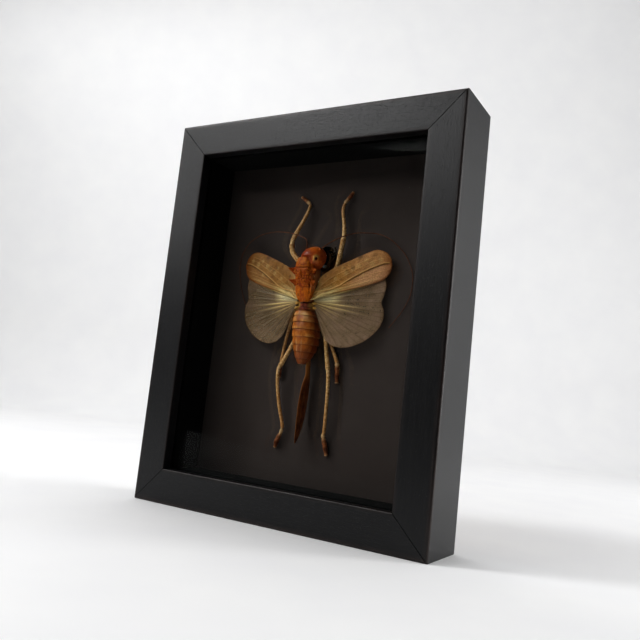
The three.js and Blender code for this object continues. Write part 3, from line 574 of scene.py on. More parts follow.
def hanger():
    """A stamped strip with a row of teeth, held by two domed nails"""
    half, top, low = HANGER["length"] / 2, HANGER["height"] / 2, HANGER["tooth"] - HANGER["height"] / 2
    run = HANGER["nail_gap"] - 4 * HANGER["round"]
    pitch = run / HANGER["teeth"]
    outline = [(-half, top), (-half, low), (-run / 2, low)]
    for i in range(HANGER["teeth"]):
        start = -run / 2 + run * i / HANGER["teeth"]
        outline += [(start + pitch / 2, -top), (start + pitch, low)]
    outline += [(half, low), (half, top)]
    middle = np.array([0, FRONT_Y + FRAME_DEPTH + GAP, FRAME_HEIGHT - (RAIL_FACE - RABBET) / 2])
    front = np.array([(x, 0, z) for x, z in outline]) + middle
    count = len(front)
    plate = np.concatenate([front, front + [0, HANGER["thick"], 0]])
    faces = [tuple(range(count)), tuple(range(2 * count - 1, count - 1, -1))]
    faces += [(k, k + count, (k + 1) % count + count, (k + 1) % count) for k in range(count)]
    parts = [(plate, faces, {})]
    # A nail's dome: rings that shrink as they rise, the first one sunk into the strip
    lean = np.linspace(0, np.pi / 2, 9)[:-1, None]
    radii = HANGER["round"] * np.concatenate([[[1.0]], np.cos(lean)])
    rise = HANGER["thick"] + np.concatenate([[[-0.3]], HANGER["rise"] * np.sin(lean)])
    turns = np.linspace(0, 2 * np.pi, 40, endpoint=False)
    for sign in (-1, 1):
        aside = sign * HANGER["nail_gap"] / 2 + radii * np.cos(turns)
        parts.append(loft(middle + np.stack([aside, rise + 0 * turns, radii * np.sin(turns)], axis=-1)))
    made = make("Hanger", joined(*parts), BRASSED, "hanger", "brassed_steel", sharp=35)
    break_edges(made, 0.12, 50)


rail("rail_bottom", FRAME_WIDTH, (0, 0), 0, 1)
rail("rail_top", FRAME_WIDTH, (0, FRAME_HEIGHT), math.pi, 2)
rail("rail_left", FRAME_HEIGHT, (-FRAME_WIDTH / 2, MIDDLE_Z), math.pi / 2, 3)
rail("rail_right", FRAME_HEIGHT, (FRAME_WIDTH / 2, MIDDLE_Z), -math.pi / 2, 4)
refinish("glass", GLASS)
refinish("backing_card", CARD)
refinish("back_panel", HARDBOARD, 0.3)
for side in ("left", "right", "bottom", "top"):
    refinish("spacer_" + side, BLACK_BOARD, 0.2)
for corner in ("left_upper", "left_lower", "right_upper", "right_lower"):
    refinish("tab_" + corner, STEEL, 0.12)
hanger()


# ---- the insect: stations run from the head end to the tail ----
WING_MIDLINE = -2.0
THORAX = {
    "z": [140.5, 136, 130, 124, 118, 112, 108.5],
    "x": [-1.6, -2, -2, -1.8, -1.6, -1.6, -1.5],
    "lift": [8.4, 7.4, 6.9, 6.4, 6.1, 6.4, 7.2],
    "half": [2.6, 3.8, 4.2, 4.5, 5.2, 5.8, 4.6],
    "deep": [3.6, 5.4, 5.5, 5.2, 4.9, 5.4, 4.4],
}
ABDOMEN = {
    "z": [113.2, 109.5, 104.5, 99, 93.5, 88.5, 84.4],
    "x": [-1.7, -1.1, -0.5, -0.1, 0, -0.2, -0.3],
    "lift": [8.2, 7.8, 7.5, 7.2, 7.1, 7.6, 8.7],
    "half": [5.6, 7.4, 8.1, 8, 7, 5, 2],
    "deep": [4.8, 6, 6.5, 6.4, 5.7, 4.2, 1.8],
}
ABDOMEN_RINGS = 8
SADDLE = {
    "z": [142.6, 140, 136.5, 133, 129.5, 126, 122.5, 119.8, 118.1],
    "x": [-3.1, -2.9, -2.6, -2.4, -2.1, -1.8, -1.5, -1.4, -1.5],
    "top": [13.9, 15.1, 15.5, 15.1, 14.4, 13.8, 13.3, 12.9, 12.4],
    "edge": [8.5, 6.6, 6, 6.2, 7.6, 10.2, 11.2, 11.4, 11.4],
    "half": [4.9, 5.5, 5.9, 5.8, 5.6, 5.4, 5, 4, 2.2],
}
SADDLE_THICK = 0.9
HEAD = {"x": 0.7, "z": 142.9, "lift": 8.6, "long": 7.7, "wide": 6.5, "high": 6.3}
HEAD_LEAN = (0.73, 0.66, 0.12)
EYE = {"along": -0.5, "aside": 5.7, "forward": -1.1}
OVIPOSITOR = {
    "z": [89, 84, 79, 74, 68, 62, 56, 50, 45, 41.8],
    "x": [0.9, 1.2, 1.5, 1.4, 1.3, 1.1, 0.8, 0.5, 0.2, 0],
    "lift": [4.2, 4, 3.8, 4.4, 5, 5.2, 5.3, 5.6, 6.2, 6.9],
    "half": [1.2, 1.1, 0.95, 0.85, 0.8, 0.75, 0.7, 0.6, 0.45, 0.15],
    "deep": [1.5, 1.8, 2.2, 3.6, 4.3, 4.4, 4, 3.1, 1.9, 0.4],
}

def ovals(form, t, turn, relief=0.0, wide=1.0, tall=1.0, square=1.0):
    """Oval rings down a body's length; wide and tall are factors, relief is in mm, square sharpens the sides"""
    side = np.sign(np.cos(turn)) * np.abs(np.cos(turn)) ** square
    half = between(form["half"], t) * wide + relief
    deep = between(form["deep"], t) * tall + relief
    return over(
        between(form["x"], t) + half * side,
        between(form["z"], t) + 0 * turn,
        between(form["lift"], t) + deep * np.sin(turn),
    )


def thorn(foot, direction, length, radius, droop=(0, 0, 0), sides=12, rings=9, flat=1.0, **marks):
    """A thorn that grows out of its piece with a flared foot and ends in a fine point"""
    f = np.linspace(-0.25, 1, rings)[:, None]
    path = np.asarray(foot, float) + unit(direction) * length * f + np.asarray(droop, float) * length * capped(f) ** 2
    f = f[:, 0]
    girth = radius * (1 - capped(f)) ** 0.85 * (1 + 0.35 * hump(f, 0, 0.14)) + 0.02
    return tube(path, girth, sides, flat, **marks)


def saddle():
    """The saddle: collar in front, two cross grooves, a rugged middle, a smooth flat lobe behind, hanging sides"""
    rows, columns = 150, 132
    t = np.linspace(0, 1, rows)[:, None]

    def arch(turn):
        return np.sign(turn) * np.abs(np.sin(turn)) ** 0.62, np.maximum(np.cos(turn), 0) ** 0.46

    # The columns are spread evenly over the arch of its cross-section
    turn = np.linspace(-np.pi / 2, np.pi / 2, 4001)
    wide, tall = arch(turn)
    run = np.concatenate([[0], np.cumsum(np.hypot(np.diff(wide) * 5.5, np.diff(tall) * 8))])
    wide, tall = arch(np.interp(np.linspace(0, run[-1], columns), run, turn)[None, :])

    def surface(inward):
        half = between(SADDLE["half"], t) - inward
        edge = between(SADDLE["edge"], t)
        top = between(SADDLE["top"], t) - inward
        # The side lobes flare a little towards their edge, and the collar bows forward in the middle
        x = between(SADDLE["x"], t) + half * wide * (1.12 - 0.12 * tall)
        bow = 1.5 * wide ** 2 * (1 - step(0, 0.2, t))
        return over(x, between(SADDLE["z"], t) - bow, edge + (top - edge) * tall)

    outer = surface(0.1)
    middle = step(0.24, 0.32, t) * (1 - step(0.58, 0.68, t)) * (0.35 + 0.65 * step(0.5, 0.9, tall))
    disc = step(0.75, 0.95, tall)
    # Wrinkles and warts in the middle, a raised collar, a thick hind rim and a domed disc
    wrinkle = rough(outer, 1.5, 1, 4)
    warts = capped(rough(outer, 0.9, 2, 2) - 0.15)
    relief = middle * (0.34 * wrinkle + 0.55 * warts)
    relief = relief + 0.22 * (1 - step(0.02, 0.06, t)) + 0.18 * step(0.965, 0.99, t)
    relief = relief + 0.45 * (1 - wide ** 2) * disc
    for groove, deep in ((0.085, 0.12), (0.25, 0.26), (0.47, 0.24), (0.62, 0.2)):
        bow = groove + 0.018 * np.cos(2.2 * wide)
        relief = relief - deep * hump(t, bow, 0.013) * (0.3 + 0.7 * disc)
    # A keel along each side of the disc, a fine line down its middle, a grain, and small pits where it is smooth
    keel = hump(np.abs(wide), 0.9, 0.05) * step(0.05, 0.12, t) * (1 - 0.5 * step(0.85, 1, t))
    relief = relief + 0.3 * keel - 0.1 * hump(wide, 0, 0.03) * disc
    relief = relief + 0.05 * rough(outer, 0.5, 3, 2)
    relief = relief - 0.36 * capped(rough(outer, 0.7, 5, 1) - 0.45) * (1 - middle)
    outer = outer + forward_normals(outer) * relief[..., None]
    # Dark red streaks and spots lie mostly lengthways
    streaks = rough(outer * np.array([1.0, 1.0, 0.4]), 1.1, 8, 3)
    spots = rough(outer, 1.5, 7, 2)
    # Darker in the hollows of the wrinkles and along two of the grooves, as painted shade; the dark spots on the disc
    # are its own colour
    pit = middle * step(0.25, 0.6, -wrinkle) + 0.6 * step(0.3, 0.7, spots) * disc
    pit = pit + 0.8 * hump(t, 0.25, 0.02) * disc + 0.5 * hump(t, 0.47, 0.015)
    parts = [sheet(
        outer, surface(SADDLE_THICK),
        rough=middle, pit=capped(pit),
        band=(hump(t, 0.05, 0.05) + 0.6 * hump(t, 0.15, 0.05)) * disc,
        red=capped((1 - step(0, 0.05, t)) * 0.5 + 0.9 * step(0.1, 0.6, streaks)),
        # Painted light: the side lobes are lightened where they lie in shade, with a pale painted highlight along
        # their lower edge
        lobe=(1 - step(0.55, 0.9, tall)) * step(0.2, 0.3, t) * (1 - step(0.6, 0.75, t)),
        rim=(1 - step(0.005, 0.03, tall)) * step(0.1, 0.2, t),
    )]

    def spot_at(along, share):
        return outer[int(along * (rows - 1)), int(np.argmin(np.abs(wide[0] - share)))]

    # Two big spines on each side; those on the right lean further out, along the lobe
    for along, length, radius in ((0.3, 4.3, 1.7), (0.53, 4.0, 1.6)):
        for share, direction, part, red in ((-0.9, (-0.6, -0.78, 0.1), 1, 1.0), (0.94, (0.92, -0.3, 0.1), 0.55, 0.6)):
            parts.append(thorn(
                spot_at(along, share), direction, part * length, radius, (0, 0, 0.08), 20, 14, 0.7, red=red))
    rng = np.random.default_rng(11)
    for _ in range(60):
        share = rng.uniform(-0.8, 0.8)
        spot = spot_at(rng.uniform(0.3, 0.62), share)
        direction = (rng.normal(0, 0.1), -1, rng.normal(0, 0.1))
        length, radius = rng.uniform(0.12, 0.3), rng.uniform(0.3, 0.55)
        parts.append(thorn(spot, direction, length, radius, sides=10, rings=7, red=rng.uniform(0.0, 0.9)))
    make("Pronotum", joined(*parts), SADDLE_SHELL, "pronotum", "saddle_shell")


def axes_from(along):
    """Three directions square to each other: the given one, one across it, and one forward"""
    along = unit(along)
    aside = unit(np.cross(along, [0, 0, 1]))
    return along, aside, np.cross(aside, along)


def placed(middle, *axes):
    """A function that turns distances along three axes from a middle into a point"""
    def place(*distances):
        points = middle
        for far, axis in zip(np.broadcast_arrays(*(np.asarray(value, float) for value in distances)), axes):
            points = points + far[..., None] * axis
        return points
    return place


# The head is an egg that leans right and down to the jaws; its parts go by distances along, across and forward
head_middle = over(HEAD["x"], HEAD["z"], HEAD["lift"])
on_head = placed(head_middle, *axes_from(HEAD_LEAN))


def ball(radii, rows, sides, place, relief=None, **marks):
    """A closed egg; place turns its own coordinates into points, relief swells it by direction"""
    lean = np.linspace(0.02, np.pi - 0.02, rows)[:, None]
    turn = np.linspace(0, 2 * np.pi, sides, endpoint=False)[None, :]
    outward = np.stack([-np.cos(lean) + 0 * turn, np.sin(lean) * np.cos(turn), np.sin(lean) * np.sin(turn)], axis=-1)
    local = outward * np.asarray(radii, float)
    if relief:
        local = local + outward * relief(local)[..., None]
    return loft(place(*np.moveaxis(local, -1, 0)), **{name: value(local) for name, value in marks.items()})


ANTENNAE = {
    "antenna_left": [
        [-2.9, 147.3, 12.4], [-4.3, 153.2, 12], [-16.7, 157.7, 9], [-29, 159.5, 6.4], [-40.4, 158.6, 4.2],
        [-49.5, 154.7, 2.4], [-55, 148.1, 1.2], [-56.3, 140.2, 0.8], [-54.7, 131.6, 0.7],
        [-51.5, 122.5, 0.7], [-47.4, 114.8, 0.7],
    ],
    "antenna_right": [
        [5.6, 147.6, 11.4], [11.5, 151.9, 10.2], [17.3, 155.2, 8], [24.3, 157.5, 5.4], [35, 157.4, 2.6],
        [43, 153.9, 1.4], [51.4, 146, 0.8], [56.3, 135.9, 0.7], [56.3, 125.4, 0.7], [52.4, 116.3, 0.7],
        [45.7, 107.2, 0.7],
    ],
}

def head():
    eyes = [np.array([EYE["along"], side * EYE["aside"], EYE["forward"]]) for side in (-1, 1)]

    def orbit(local):
        # A pale patch above the eye, fading out below it
        return sum(
            hump(distance(local, eye), 1.5, 0.7)
            * (0.25 + 0.75 * step(-1.2, 1.2, local[..., 2] - eye[2] - 0.6 * (local[..., 0] - eye[0])))
            for eye in eyes
        )

    def relief(local):
        along, aside, forward = np.moveaxis(local, -1, 0)
        ring = 0.2 * sum(hump(distance(local, eye), 1.4, 0.4) for eye in eyes)
        brow = 0.35 * hump(distance(local, [1.5, 0, 6.1]), 0, 1.6)
        seam = -0.14 * hump(aside, 0, 0.25) * step(-2, 1, forward)
        cheek = -0.16 * hump(along - 0.35 * forward, 3.4, 0.3) * step(1.0, 3.0, np.abs(aside))
        return ring + brow + seam + cheek + 0.05 * rough(local, 1.4, 4, 3)

    points, faces, marks = ball(
        (HEAD["long"], HEAD["wide"], HEAD["high"]), 96, 128, on_head, relief,
        orbit=orbit,
        red=lambda local: step(-1.5, -4.5, local[..., 0]) * 0.8 + 0.5 * step(2.2, 5.5, local[..., 0]),
        crown=lambda local: step(2, 5, local[..., 2]) * (1 - step(2, 5, np.abs(local[..., 0]))),
    )
    # The front of the head tucks under the saddle's collar
    lift = CARD_Y - points[:, 1]
    under = step(143.3, 142.4, points[:, 2]) * step(4.0, 2.6, points[:, 0])
    roof = np.interp(points[:, 2], [118, 142.6], [12.0, 14.2])
    points[:, 1] = CARD_Y - np.where(lift > roof, lift + (roof - lift) * under, lift)
    parts = [(points, faces, marks)]
    # A socket at the root of each feeler
    for route in ANTENNAE.values():
        spot = over(*route[0])
        outward = unit(spot - head_middle)
        path = [spot + outward * far for far in (-1.4, -0.4, 0.25)]
        parts.append(tube(path, [0.9, 0.8, 0.55], 18, crown=0.8))
    make("Head", joined(*parts), HEAD_SHELL, "head", "head_shell")
    for name, eye in zip(("Eye_left", "Eye_right"), eyes):
        spot = on_head(*eye)
        outward, first, second = axes_from(spot - head_middle)
        bead = ball(
            (1.1, 0.95, 1.1), 40, 48, placed(spot, -outward, first, second),
            rim=lambda local: step(-0.5, 0.3, local[..., 0]),
        )
        make(name, bead, EYE_SHELL, None, "black_shell")


def mouth():
    """The black lower face: a broad jaw lobe round the cheek, the upper lip, mandibles and jointed palps"""
    def lobe(a, b, c):
        return on_head(5.9 + a, b, -0.9 + c)

    def seams(local):
        lower, upper = hump(local[..., 2], -2.2, 0.3), hump(local[..., 2], 1.6, 0.25)
        return -0.22 * lower - 0.18 * upper + 0.05 * rough(local, 1.1, 6, 3)

    f = np.linspace(0, 1, 22)

    def feature(spots, girth, sides):
        return tube(between([on_head(*spot) for spot in spots], f, 0.4), girth, sides)

    lip_girth = (2.2 - f) * np.sqrt(np.clip(1.02 - f ** 6, 0.05, 1))
    knuckles = 0.42 + 0.16 * np.abs(np.sin(f * 3 * np.pi)) - 0.08 * f
    parts = [
        ball((4.3, 4.3, 6.6), 64, 72, lobe, seams),
        feature([(5, 0.6, 4.6), (8.4, 0.6, 5), (10.6, 0.4, 4)], lip_girth, 28),
    ]
    for side in (-1, 1):
        jaw = [(8, side * 2, -1), (10.6, side * 1.8, 0.4), (11.6, side * 0.6, 2.4)]
        palp = [(9, side * 2.6, 2), (11.4, side * 3, 3.4), (10.8, side * 3.4, 6)]
        parts += [feature(jaw, 1.8 - 1.35 * f, 22), feature(palp, knuckles, 14)]
    points, faces, marks = joined(*parts)
    make("Mouthparts", (off_card(points), faces, marks), BLACK_SHELL, "mouthparts", "black_shell")


def thorax():
    """The trunk behind the saddle: shield plates with soft folds between, pale where the wings are hinged"""
    t, turn = shares_and_turns(150, 88)
    creases = ((0.66, 0.5, 0.012), (0.735, 0.4, 0.012), (0.8, 0.55, 0.014), (0.9, 0.4, 0.012))
    folds = sum(deep * hump(t, at, wide) for at, deep, wide in creases)
    plates = 0.22 * np.sin(t * 2 * np.pi * 7) ** 2
    hinges = hump(t, 0.7, 0.05) + hump(t, 0.84, 0.05)
    parts = [loft(
        ovals(THORAX, t, turn, plates - folds - 0.15),
        pale=capped(hinges) * step(0.04, 0.3, 1 - np.abs(np.sin(turn))) * 0.9,
        dark=capped(folds * 2) * (0.4 + 0.6 * step(0.1, 0.7, np.sin(turn))),
    )]
    # Small hinge plates under the wing roots
    girth = 0.75 * np.sin(np.linspace(0.5, 2.7, 12))
    for sign in (-1, 1):
        for z, lift, out in ((121.5, 9.6, 5.0), (117.8, 9.0, 5.6), (115.2, 8.6, 5.9)):
            spot = over(-1.7 + sign * out, z, lift)
            path = [spot + np.array([-sign * 1.6, 0.6, 0.3]), spot, spot + np.array([sign * 1.3, 0.3, -0.3])]
            parts.append(tube(between(path, np.linspace(0, 1, 12), 0.4), girth, 14, pale=1.0))
    make("Thorax", joined(*parts), TRUNK_SHELL, "thorax", "trunk_shell")


def abdomen():
    """Overlapping rings, each swelling to a pale hem that steps down on to the next; the hems carry a painted
    highlight and the fronts of the rings painted shade
    """
    levels = [0, 0.06, 0.14, 0.24, 0.36, 0.48, 0.6, 0.72, 0.82, 0.89, 0.94, 0.975, 0.993]
    f = np.tile(levels, ABDOMEN_RINGS)
    ring = np.repeat(np.arange(ABDOMEN_RINGS), len(levels))
    # Each row's place, swelling, hem and fold, and after the comma those of the last row, at the tail
    t, grow, hem, fold = (np.append(rows, tail)[:, None] for rows, tail in (
        ((ring + f) / ABDOMEN_RINGS, 1.0),
        (0.945 + 0.075 * np.sin(f * np.pi / 2) ** 0.8 - 0.03 * (f > 0.985), 0.75),
        (0.6 * step(0.45, 0.85, f), 0.0),
        (np.maximum(1 - step(0.0, 0.1, f), 0.4 - 0.4 * step(0.05, 0.45, f)), 0.4),
    ))
    turn = shares_and_turns(2, 96)[1]
    lean = turn - np.pi / 2
    plain = ovals(ABDOMEN, t, turn, 0, grow, grow)
    # Dry skin puckers lengthways, most towards each hem, and sinks along the flanks
    pucker = rough(plain * np.array([1.0, 1.0, 0.25]), 1.1, 8, 3)
    relief = 0.07 * pucker * (0.5 + hem) + 0.1 * rough(plain, 3.5, 9, 2)
    relief = relief - 0.35 * hump(np.abs(lean), 1.25, 0.12) + 0.12 * hump(lean, 0, 0.07)
    # Both sides of the body are darkened, the right side more, as painted shade away from the light
    flank = step(0.9, 1.45, np.abs(lean))
    # Pale patches beside a red-brown midline at the front, and pale streaks lengthways further back
    spots = 1.3 * hump(t, 0.11, 0.1) * hump(lean + 1.2 * (t - 0.11), -0.42, 0.24)
    spots = spots + hump(t, 0.13, 0.08) * hump(lean, 0.6, 0.16)
    streak = 0.6 * step(0.5, 0.62, t) * (1 - step(0.75, 0.85, t)) * (hump(lean, 0.32, 0.06) + hump(lean, -0.12, 0.05))
    midline = hump(lean, 0.1, 0.14 + 0.1 * t) * (1 - 0.6 * step(0.25, 0.5, t))
    broken = step(-0.6, 0.5, rough(plain, 2.2, 10, 2))
    body = loft(
        ovals(ABDOMEN, t, turn, relief, grow, grow),
        # Each ring's pale hem is lit up as a painted highlight where the ring swells; the fold is a dark joint line
        # with painted shade where the ring comes out from under the one before
        hem=hem * (1 - 0.8 * flank) * (0.25 + 0.75 * broken) * (1 - 0.6 * step(0.6, 0.9, t)),
        fold=fold * (0.5 + 0.5 * broken),
        # Painted shade on the body's sides, strongest on the right
        flank=capped(flank * 0.85 + 0.5 * step(0.35, 0.9, -lean)),
        tail=capped(step(0.5, 0.85, t) + 0.8 * midline + 0.5 * step(0.2, 0.8, pucker)),
        pale=capped(spots + streak) * (0.7 + 0.3 * pucker),
    )
    make("Abdomen", body, BELLY_SHELL, "abdomen", "belly_shell")


def blade():
    """The ovipositor: a round stalk that widens into a tall two-valved blade with a groove along each side"""
    t, turn = shares_and_turns(130, 56)
    low = np.sin(turn)
    groove = 1 - 0.3 * hump(low, 0.12, 0.1) * step(0.22, 0.35, t)
    # The front edge is finely toothed near the point
    teeth = 1 + 0.02 * np.sin(t * 300) * step(0.7, 0.85, t) * hump(turn, np.pi / 2, 0.3)
    # Painted highlight: a lighter line along the blade's edge that stands out from the card, and along the upper lip
    # of each groove
    ridge = hump(turn, np.pi / 2, 0.35) * step(0.2, 0.3, t) + 0.5 * hump(low, 0.3, 0.08) * step(0.25, 0.4, t)
    body = loft(ovals(OVIPOSITOR, t, turn, 0, groove, teeth, 1.15), stalk=1 - step(0.16, 0.36, t), ridge=ridge)
    make("Ovipositor", body, BLADE_SHELL, "ovipositor", "blade_shell")


# Each leg: joints from hip to foot as x, z, lift and radius, and at which joints the knee and the foot begin
LEGS = {
    "front_leg_left": ([
        [-4, 136, 3.6, 1.3], [-10.5, 141, 4.4, 1.5], [-16.6, 147.4, 5, 1.45], [-17.4, 153.6, 5.4, 1.35],
        [-15.6, 159, 4.9, 1.25], [-13, 164.6, 4.3, 1.05], [-10.4, 171.4, 3.6, 0.95], [-9.8, 175.4, 3, 0.9],
        [-12.6, 178.2, 2.2, 0.95], [-16.8, 181, 1.4, 0.6],
    ], 2.6, 7.2),
    "front_leg_right": ([
        [0.6, 132.6, 2.6, 1.2], [7.6, 132.8, 2.7, 1.3], [12.5, 139.4, 3.4, 1.45], [14.6, 149.5, 4.6, 1.4],
        [15.4, 156.5, 4.6, 1.3], [14.4, 163.6, 4.2, 1.05], [12.4, 171, 3.4, 0.95], [12.9, 175.6, 2.8, 0.9],
        [15, 178.8, 2.1, 1], [16.6, 182, 1.4, 0.6],
    ], 3.6, 6.9),
    "middle_leg_left": ([
        [-4.6, 123.5, 3.4, 1.2], [-9, 117.5, 2.8, 1.2], [-13.4, 111.4, 2.4, 1.1], [-15.2, 104, 2.2, 0.9],
        [-16.4, 98, 2.1, 0.85], [-17.6, 89, 2, 0.9], [-18, 85, 1.9, 0.95], [-18.4, 76.4, 1.4, 0.7],
    ], 2.2, 6),
    "middle_leg_right": ([
        [2.2, 124.5, 2.8, 1.1], [5.2, 117.5, 1.9, 1.1], [7, 111, 1.7, 1], [8.8, 104.5, 1.7, 0.9],
        [12, 98.6, 2.2, 0.9], [17.6, 88.4, 2.6, 1.05], [18.4, 84.5, 2.2, 1.1], [18.8, 76, 1.6, 0.8],
    ], 3.0, 5.4),
    "hind_leg_left": ([
        [-5.2, 113.5, 3.2, 1.7], [-7.4, 106.5, 2.6, 1.6], [-9.4, 99, 3, 1.3], [-12.2, 91.5, 4.2, 1.1],
        [-15.2, 84.6, 5, 1.25], [-17.4, 80.6, 4.9, 1.05], [-17, 72, 4.5, 1], [-14.9, 61, 3.8, 0.95],
        [-12, 50.6, 2.8, 0.95], [-12.8, 46.2, 2.2, 0.9], [-15, 41.8, 1.9, 1.15], [-16.1, 37.8, 1.4, 0.7],
    ], 4.3, 8.4),
    "hind_leg_right": ([
        [4.2, 116, 4.4, 1.7], [8.6, 110.6, 5, 1.6], [10.4, 103.5, 5.2, 1.35], [12.2, 93.5, 5.2, 1.1],
        [14, 84.8, 5, 1.25], [14.8, 80.6, 4.8, 1.1], [15.4, 71, 4.4, 1], [15.3, 60, 3.8, 0.95],
        [15, 50, 3, 0.9], [14.4, 47.4, 2.4, 1], [15.8, 42.6, 2, 1.15], [16.9, 37.4, 1.4, 0.75],
    ], 4.3, 8.6),
}

def leg(name, joints, knee, ankle, seed):
    """One leg: thigh, knee, thorny shin, jointed foot with two claws"""
    joints = np.array(joints)
    last = len(joints) - 1
    rings_per_joint = 26
    count = rings_per_joint * last + 1
    t = np.linspace(0, 1, count)
    path = between(over(joints[:, 0], joints[:, 1], joints[:, 2]), t, 0.4)
    at = t * last
    foot = step(ankle - 0.15, ankle + 0.15, at)
    share = capped((at - ankle) / (last - ankle))
    # The foot's joints swell and widen to its tip; the knee is thick and the shin starts thin
    lobes = (0.8 + 0.3 * np.abs(np.sin(share * math.pi * 3.5)) ** 0.7) * (1 + 0.25 * share)
    girth = between(joints[:, 3], t) * (1 - foot * (1 - lobes))
    girth = girth * (1 + 0.16 * hump(at, knee, 0.16) - 0.16 * hump(at, knee + 0.32, 0.12))
    girth = girth * (1 - 0.14 * hump(at, ankle, 0.07))
    first_joint = foot * (1 - step(0.08, 0.5, share))
    points, faces, marks = tube(
        path, girth, 20, 0.94,
        foot=foot, shin=step(knee, ankle, at) * (1 - foot),
        knee=capped(hump(at, knee, 0.14) + 0.7 * hump(at, ankle, 0.1)),
        joint=capped(first_joint + 0.6 * hump(at, knee + 0.45, 0.2) + 0.7 * step(0.9, 0.99, share)),
        pad=(0.7 * hump(share, 0.42, 0.07) + hump(share, 0.72, 0.1)) * foot,
    )
    parts = [(points + rough(points, 0.9, seed, 2)[:, None] * 0.04, faces, marks)]
    # Two rows of thorns down the shin; the inner row is smaller and stands more forward
    rng = np.random.default_rng(seed)
    along = unit(np.gradient(path, axis=0))
    aside = unit(np.cross(along, [0, -1, 0]))
    for spot in np.linspace(knee + 0.5, ankle - 0.15, 13):
        for shift, out, forward, size in ((0, 1, 0.15, 1), (0.08, -0.8, 0.55, 0.75)):
            i = int((spot + shift) / last * (count - 1))
            towards = unit(aside[i] * out - np.array([0, forward, 0]) + along[i] * 0.35)
            size = rng.uniform(0.7, 1.15) * size
            parts.append(thorn(path[i] + 0.75 * girth[i] * towards, towards, size, 0.2, sides=7, rings=6, thorn=0.9))
    tip, ahead = path[-1], along[-1]
    for sign in (-1, 1):
        out = np.cross(ahead, [0, -1, 0]) * sign
        hook = [tip - ahead * 0.3, tip + ahead * 0.45 + out * 0.45, tip + ahead * 0.6 + out * 0.6 + [0, 0.45, 0]]
        hook = between(hook, np.linspace(0, 1, 10), 0.4)
        parts.append(tube(hook, np.linspace(0.22, 0.04, 10), 8, foot=1.0, thorn=0.6))
    points, faces, marks = joined(*parts)
    make(name.capitalize(), (off_card(points), faces, marks), LIMB_SHELL, name, "limb_shell")


def antenna(name, route):
    """A thread of many short joints on two thicker ones, thinning to its end"""
    t = np.linspace(0, 1, 460)
    path = between(over(*np.array(route).T), t, 0.4)
    girth = 0.34 - 0.16 * np.minimum(1, 1.6 * t) + 0.42 * step(0.022, 0.0, t) + 0.12 * hump(t, 0.03, 0.006)
    girth = girth + 0.02 * np.sign(np.sin(t * 420))
    make(name.capitalize(), tube(path, girth, 9), FEELER_SHELL, name, "feeler_shell")


# Wings: height off the card falls from the root to the tip
FOREWING = {"root": 9.9, "tip": 3.2, "thick": 0.45, "bow": 0.5}
HINDWING = {"root": 8.8, "tip": 2.2, "thick": 0.24, "pleat": 0.26, "folds": 13}
FOREWING_FRONT = {
    "left": [
        [3, 122.6], [6.9, 127], [7.3, 131.8], [10.5, 136.3], [18, 140.3], [26, 143.6], [33, 146.3],
        [38.5, 147.8], [43.4, 147.2], [46.7, 144.3], [47.8, 140],
    ],
    "right": [
        [3, 122.6], [6.9, 126.6], [7.6, 130.8], [10.5, 134.1], [18, 138.7], [26, 142.6], [33, 146],
        [38.5, 148], [43.4, 147], [46.4, 144], [47.6, 140],
    ],
}
FOREWING_HIND = [
    [3, 119.3], [6.7, 120], [9, 120.9], [12.5, 122], [19, 124], [26.5, 126.1], [33.5, 128.2],
    [38.8, 130], [43.4, 132.1], [46.6, 135.4], [47.7, 140],
]
HINDWING_RIM = [
    [39, 137.6], [43.6, 133.4], [45.1, 128.6], [44.4, 124], [43.3, 119.8], [44.9, 115.8],
    [45, 111.6], [43.6, 107.2], [40.8, 103.3], [37, 99.8], [32, 96.9], [26.5, 95.1], [21, 94.9],
    [16.6, 96.5], [13.2, 99.8], [11, 104], [9.8, 108.2], [8.4, 112.2],
]
HINDWING_ROOT = [[5.3, 120.2], [5.6, 117.4], [6.5, 114.4]]
# Long veins of the forewing, as distance from the wings' midline and height
MAIN_VEIN = [
    (5, 123.6), (8.9, 124.3), (15.1, 125.6), (20, 127.7), (24.6, 131), (32.8, 136), (39.3, 139.3), (43.4, 140.9),
    (46, 141.3),
]
FOREWING_VEINS = [
    [(8.3, 125.8), (13, 130.5), (20, 134.8), (28, 139.2), (36, 143.2), (41, 144.8)],
    [(8, 124.9), (15, 128.6), (22, 132.8), (30, 137.6), (38, 141.8), (43, 143.2)],
    [(24.6, 131), (30, 132.4), (36, 134.4), (42, 136.2), (46, 137.4)],
    [(15.1, 125.6), (22, 126.6), (29, 128.6), (35, 130.6), (40, 131.8)],
    [(6, 121.9), (15.1, 123.6), (23.4, 125.7), (31.5, 127.9), (38, 130)],
    [(19, 127.2), (27, 129.4), (34, 132.2), (41, 134.2)],
]
# Each ring's distance from the midline, height and radius
PALE_RINGS = [
    (37, 140.3, 1.2), (32.3, 134.2, 0.9), (23.1, 134.8, 1.0), (29.6, 138.9, 1.1), (26.6, 137.2, 0.9),
    (33.6, 142.2, 0.8), (17.5, 131.5, 0.8), (41.5, 142.6, 0.9), (21, 137.6, 0.7),
]

def wing_lift(wing, span):
    """A wing's height off the card, by the distance from the wings' midline"""
    root_at, tip_at = 5, 48
    return wing["root"] + (wing["tip"] - wing["root"]) * (np.maximum(span - root_at, 0) / (tip_at - root_at)) ** 1.2


def wing(name, sign, plan, lift, thin, flow, finish, slot, **marks):
    """A thin wing from its plan, its middle's lift, half its thickness, and the way that its pattern flows"""
    x, z = WING_MIDLINE + sign * plan[..., 0], plan[..., 1]
    points, faces, full = sheet(over(x, z, lift + thin), over(x, z, lift - thin), **marks)
    flow = np.stack([flow[0], flow[1], 0 * flow[0]], axis=-1)
    full["flow"] = np.tile(flow.reshape(-1, 3), (2, 1))
    make(name.capitalize(), (points, faces, full), finish, name, slot)


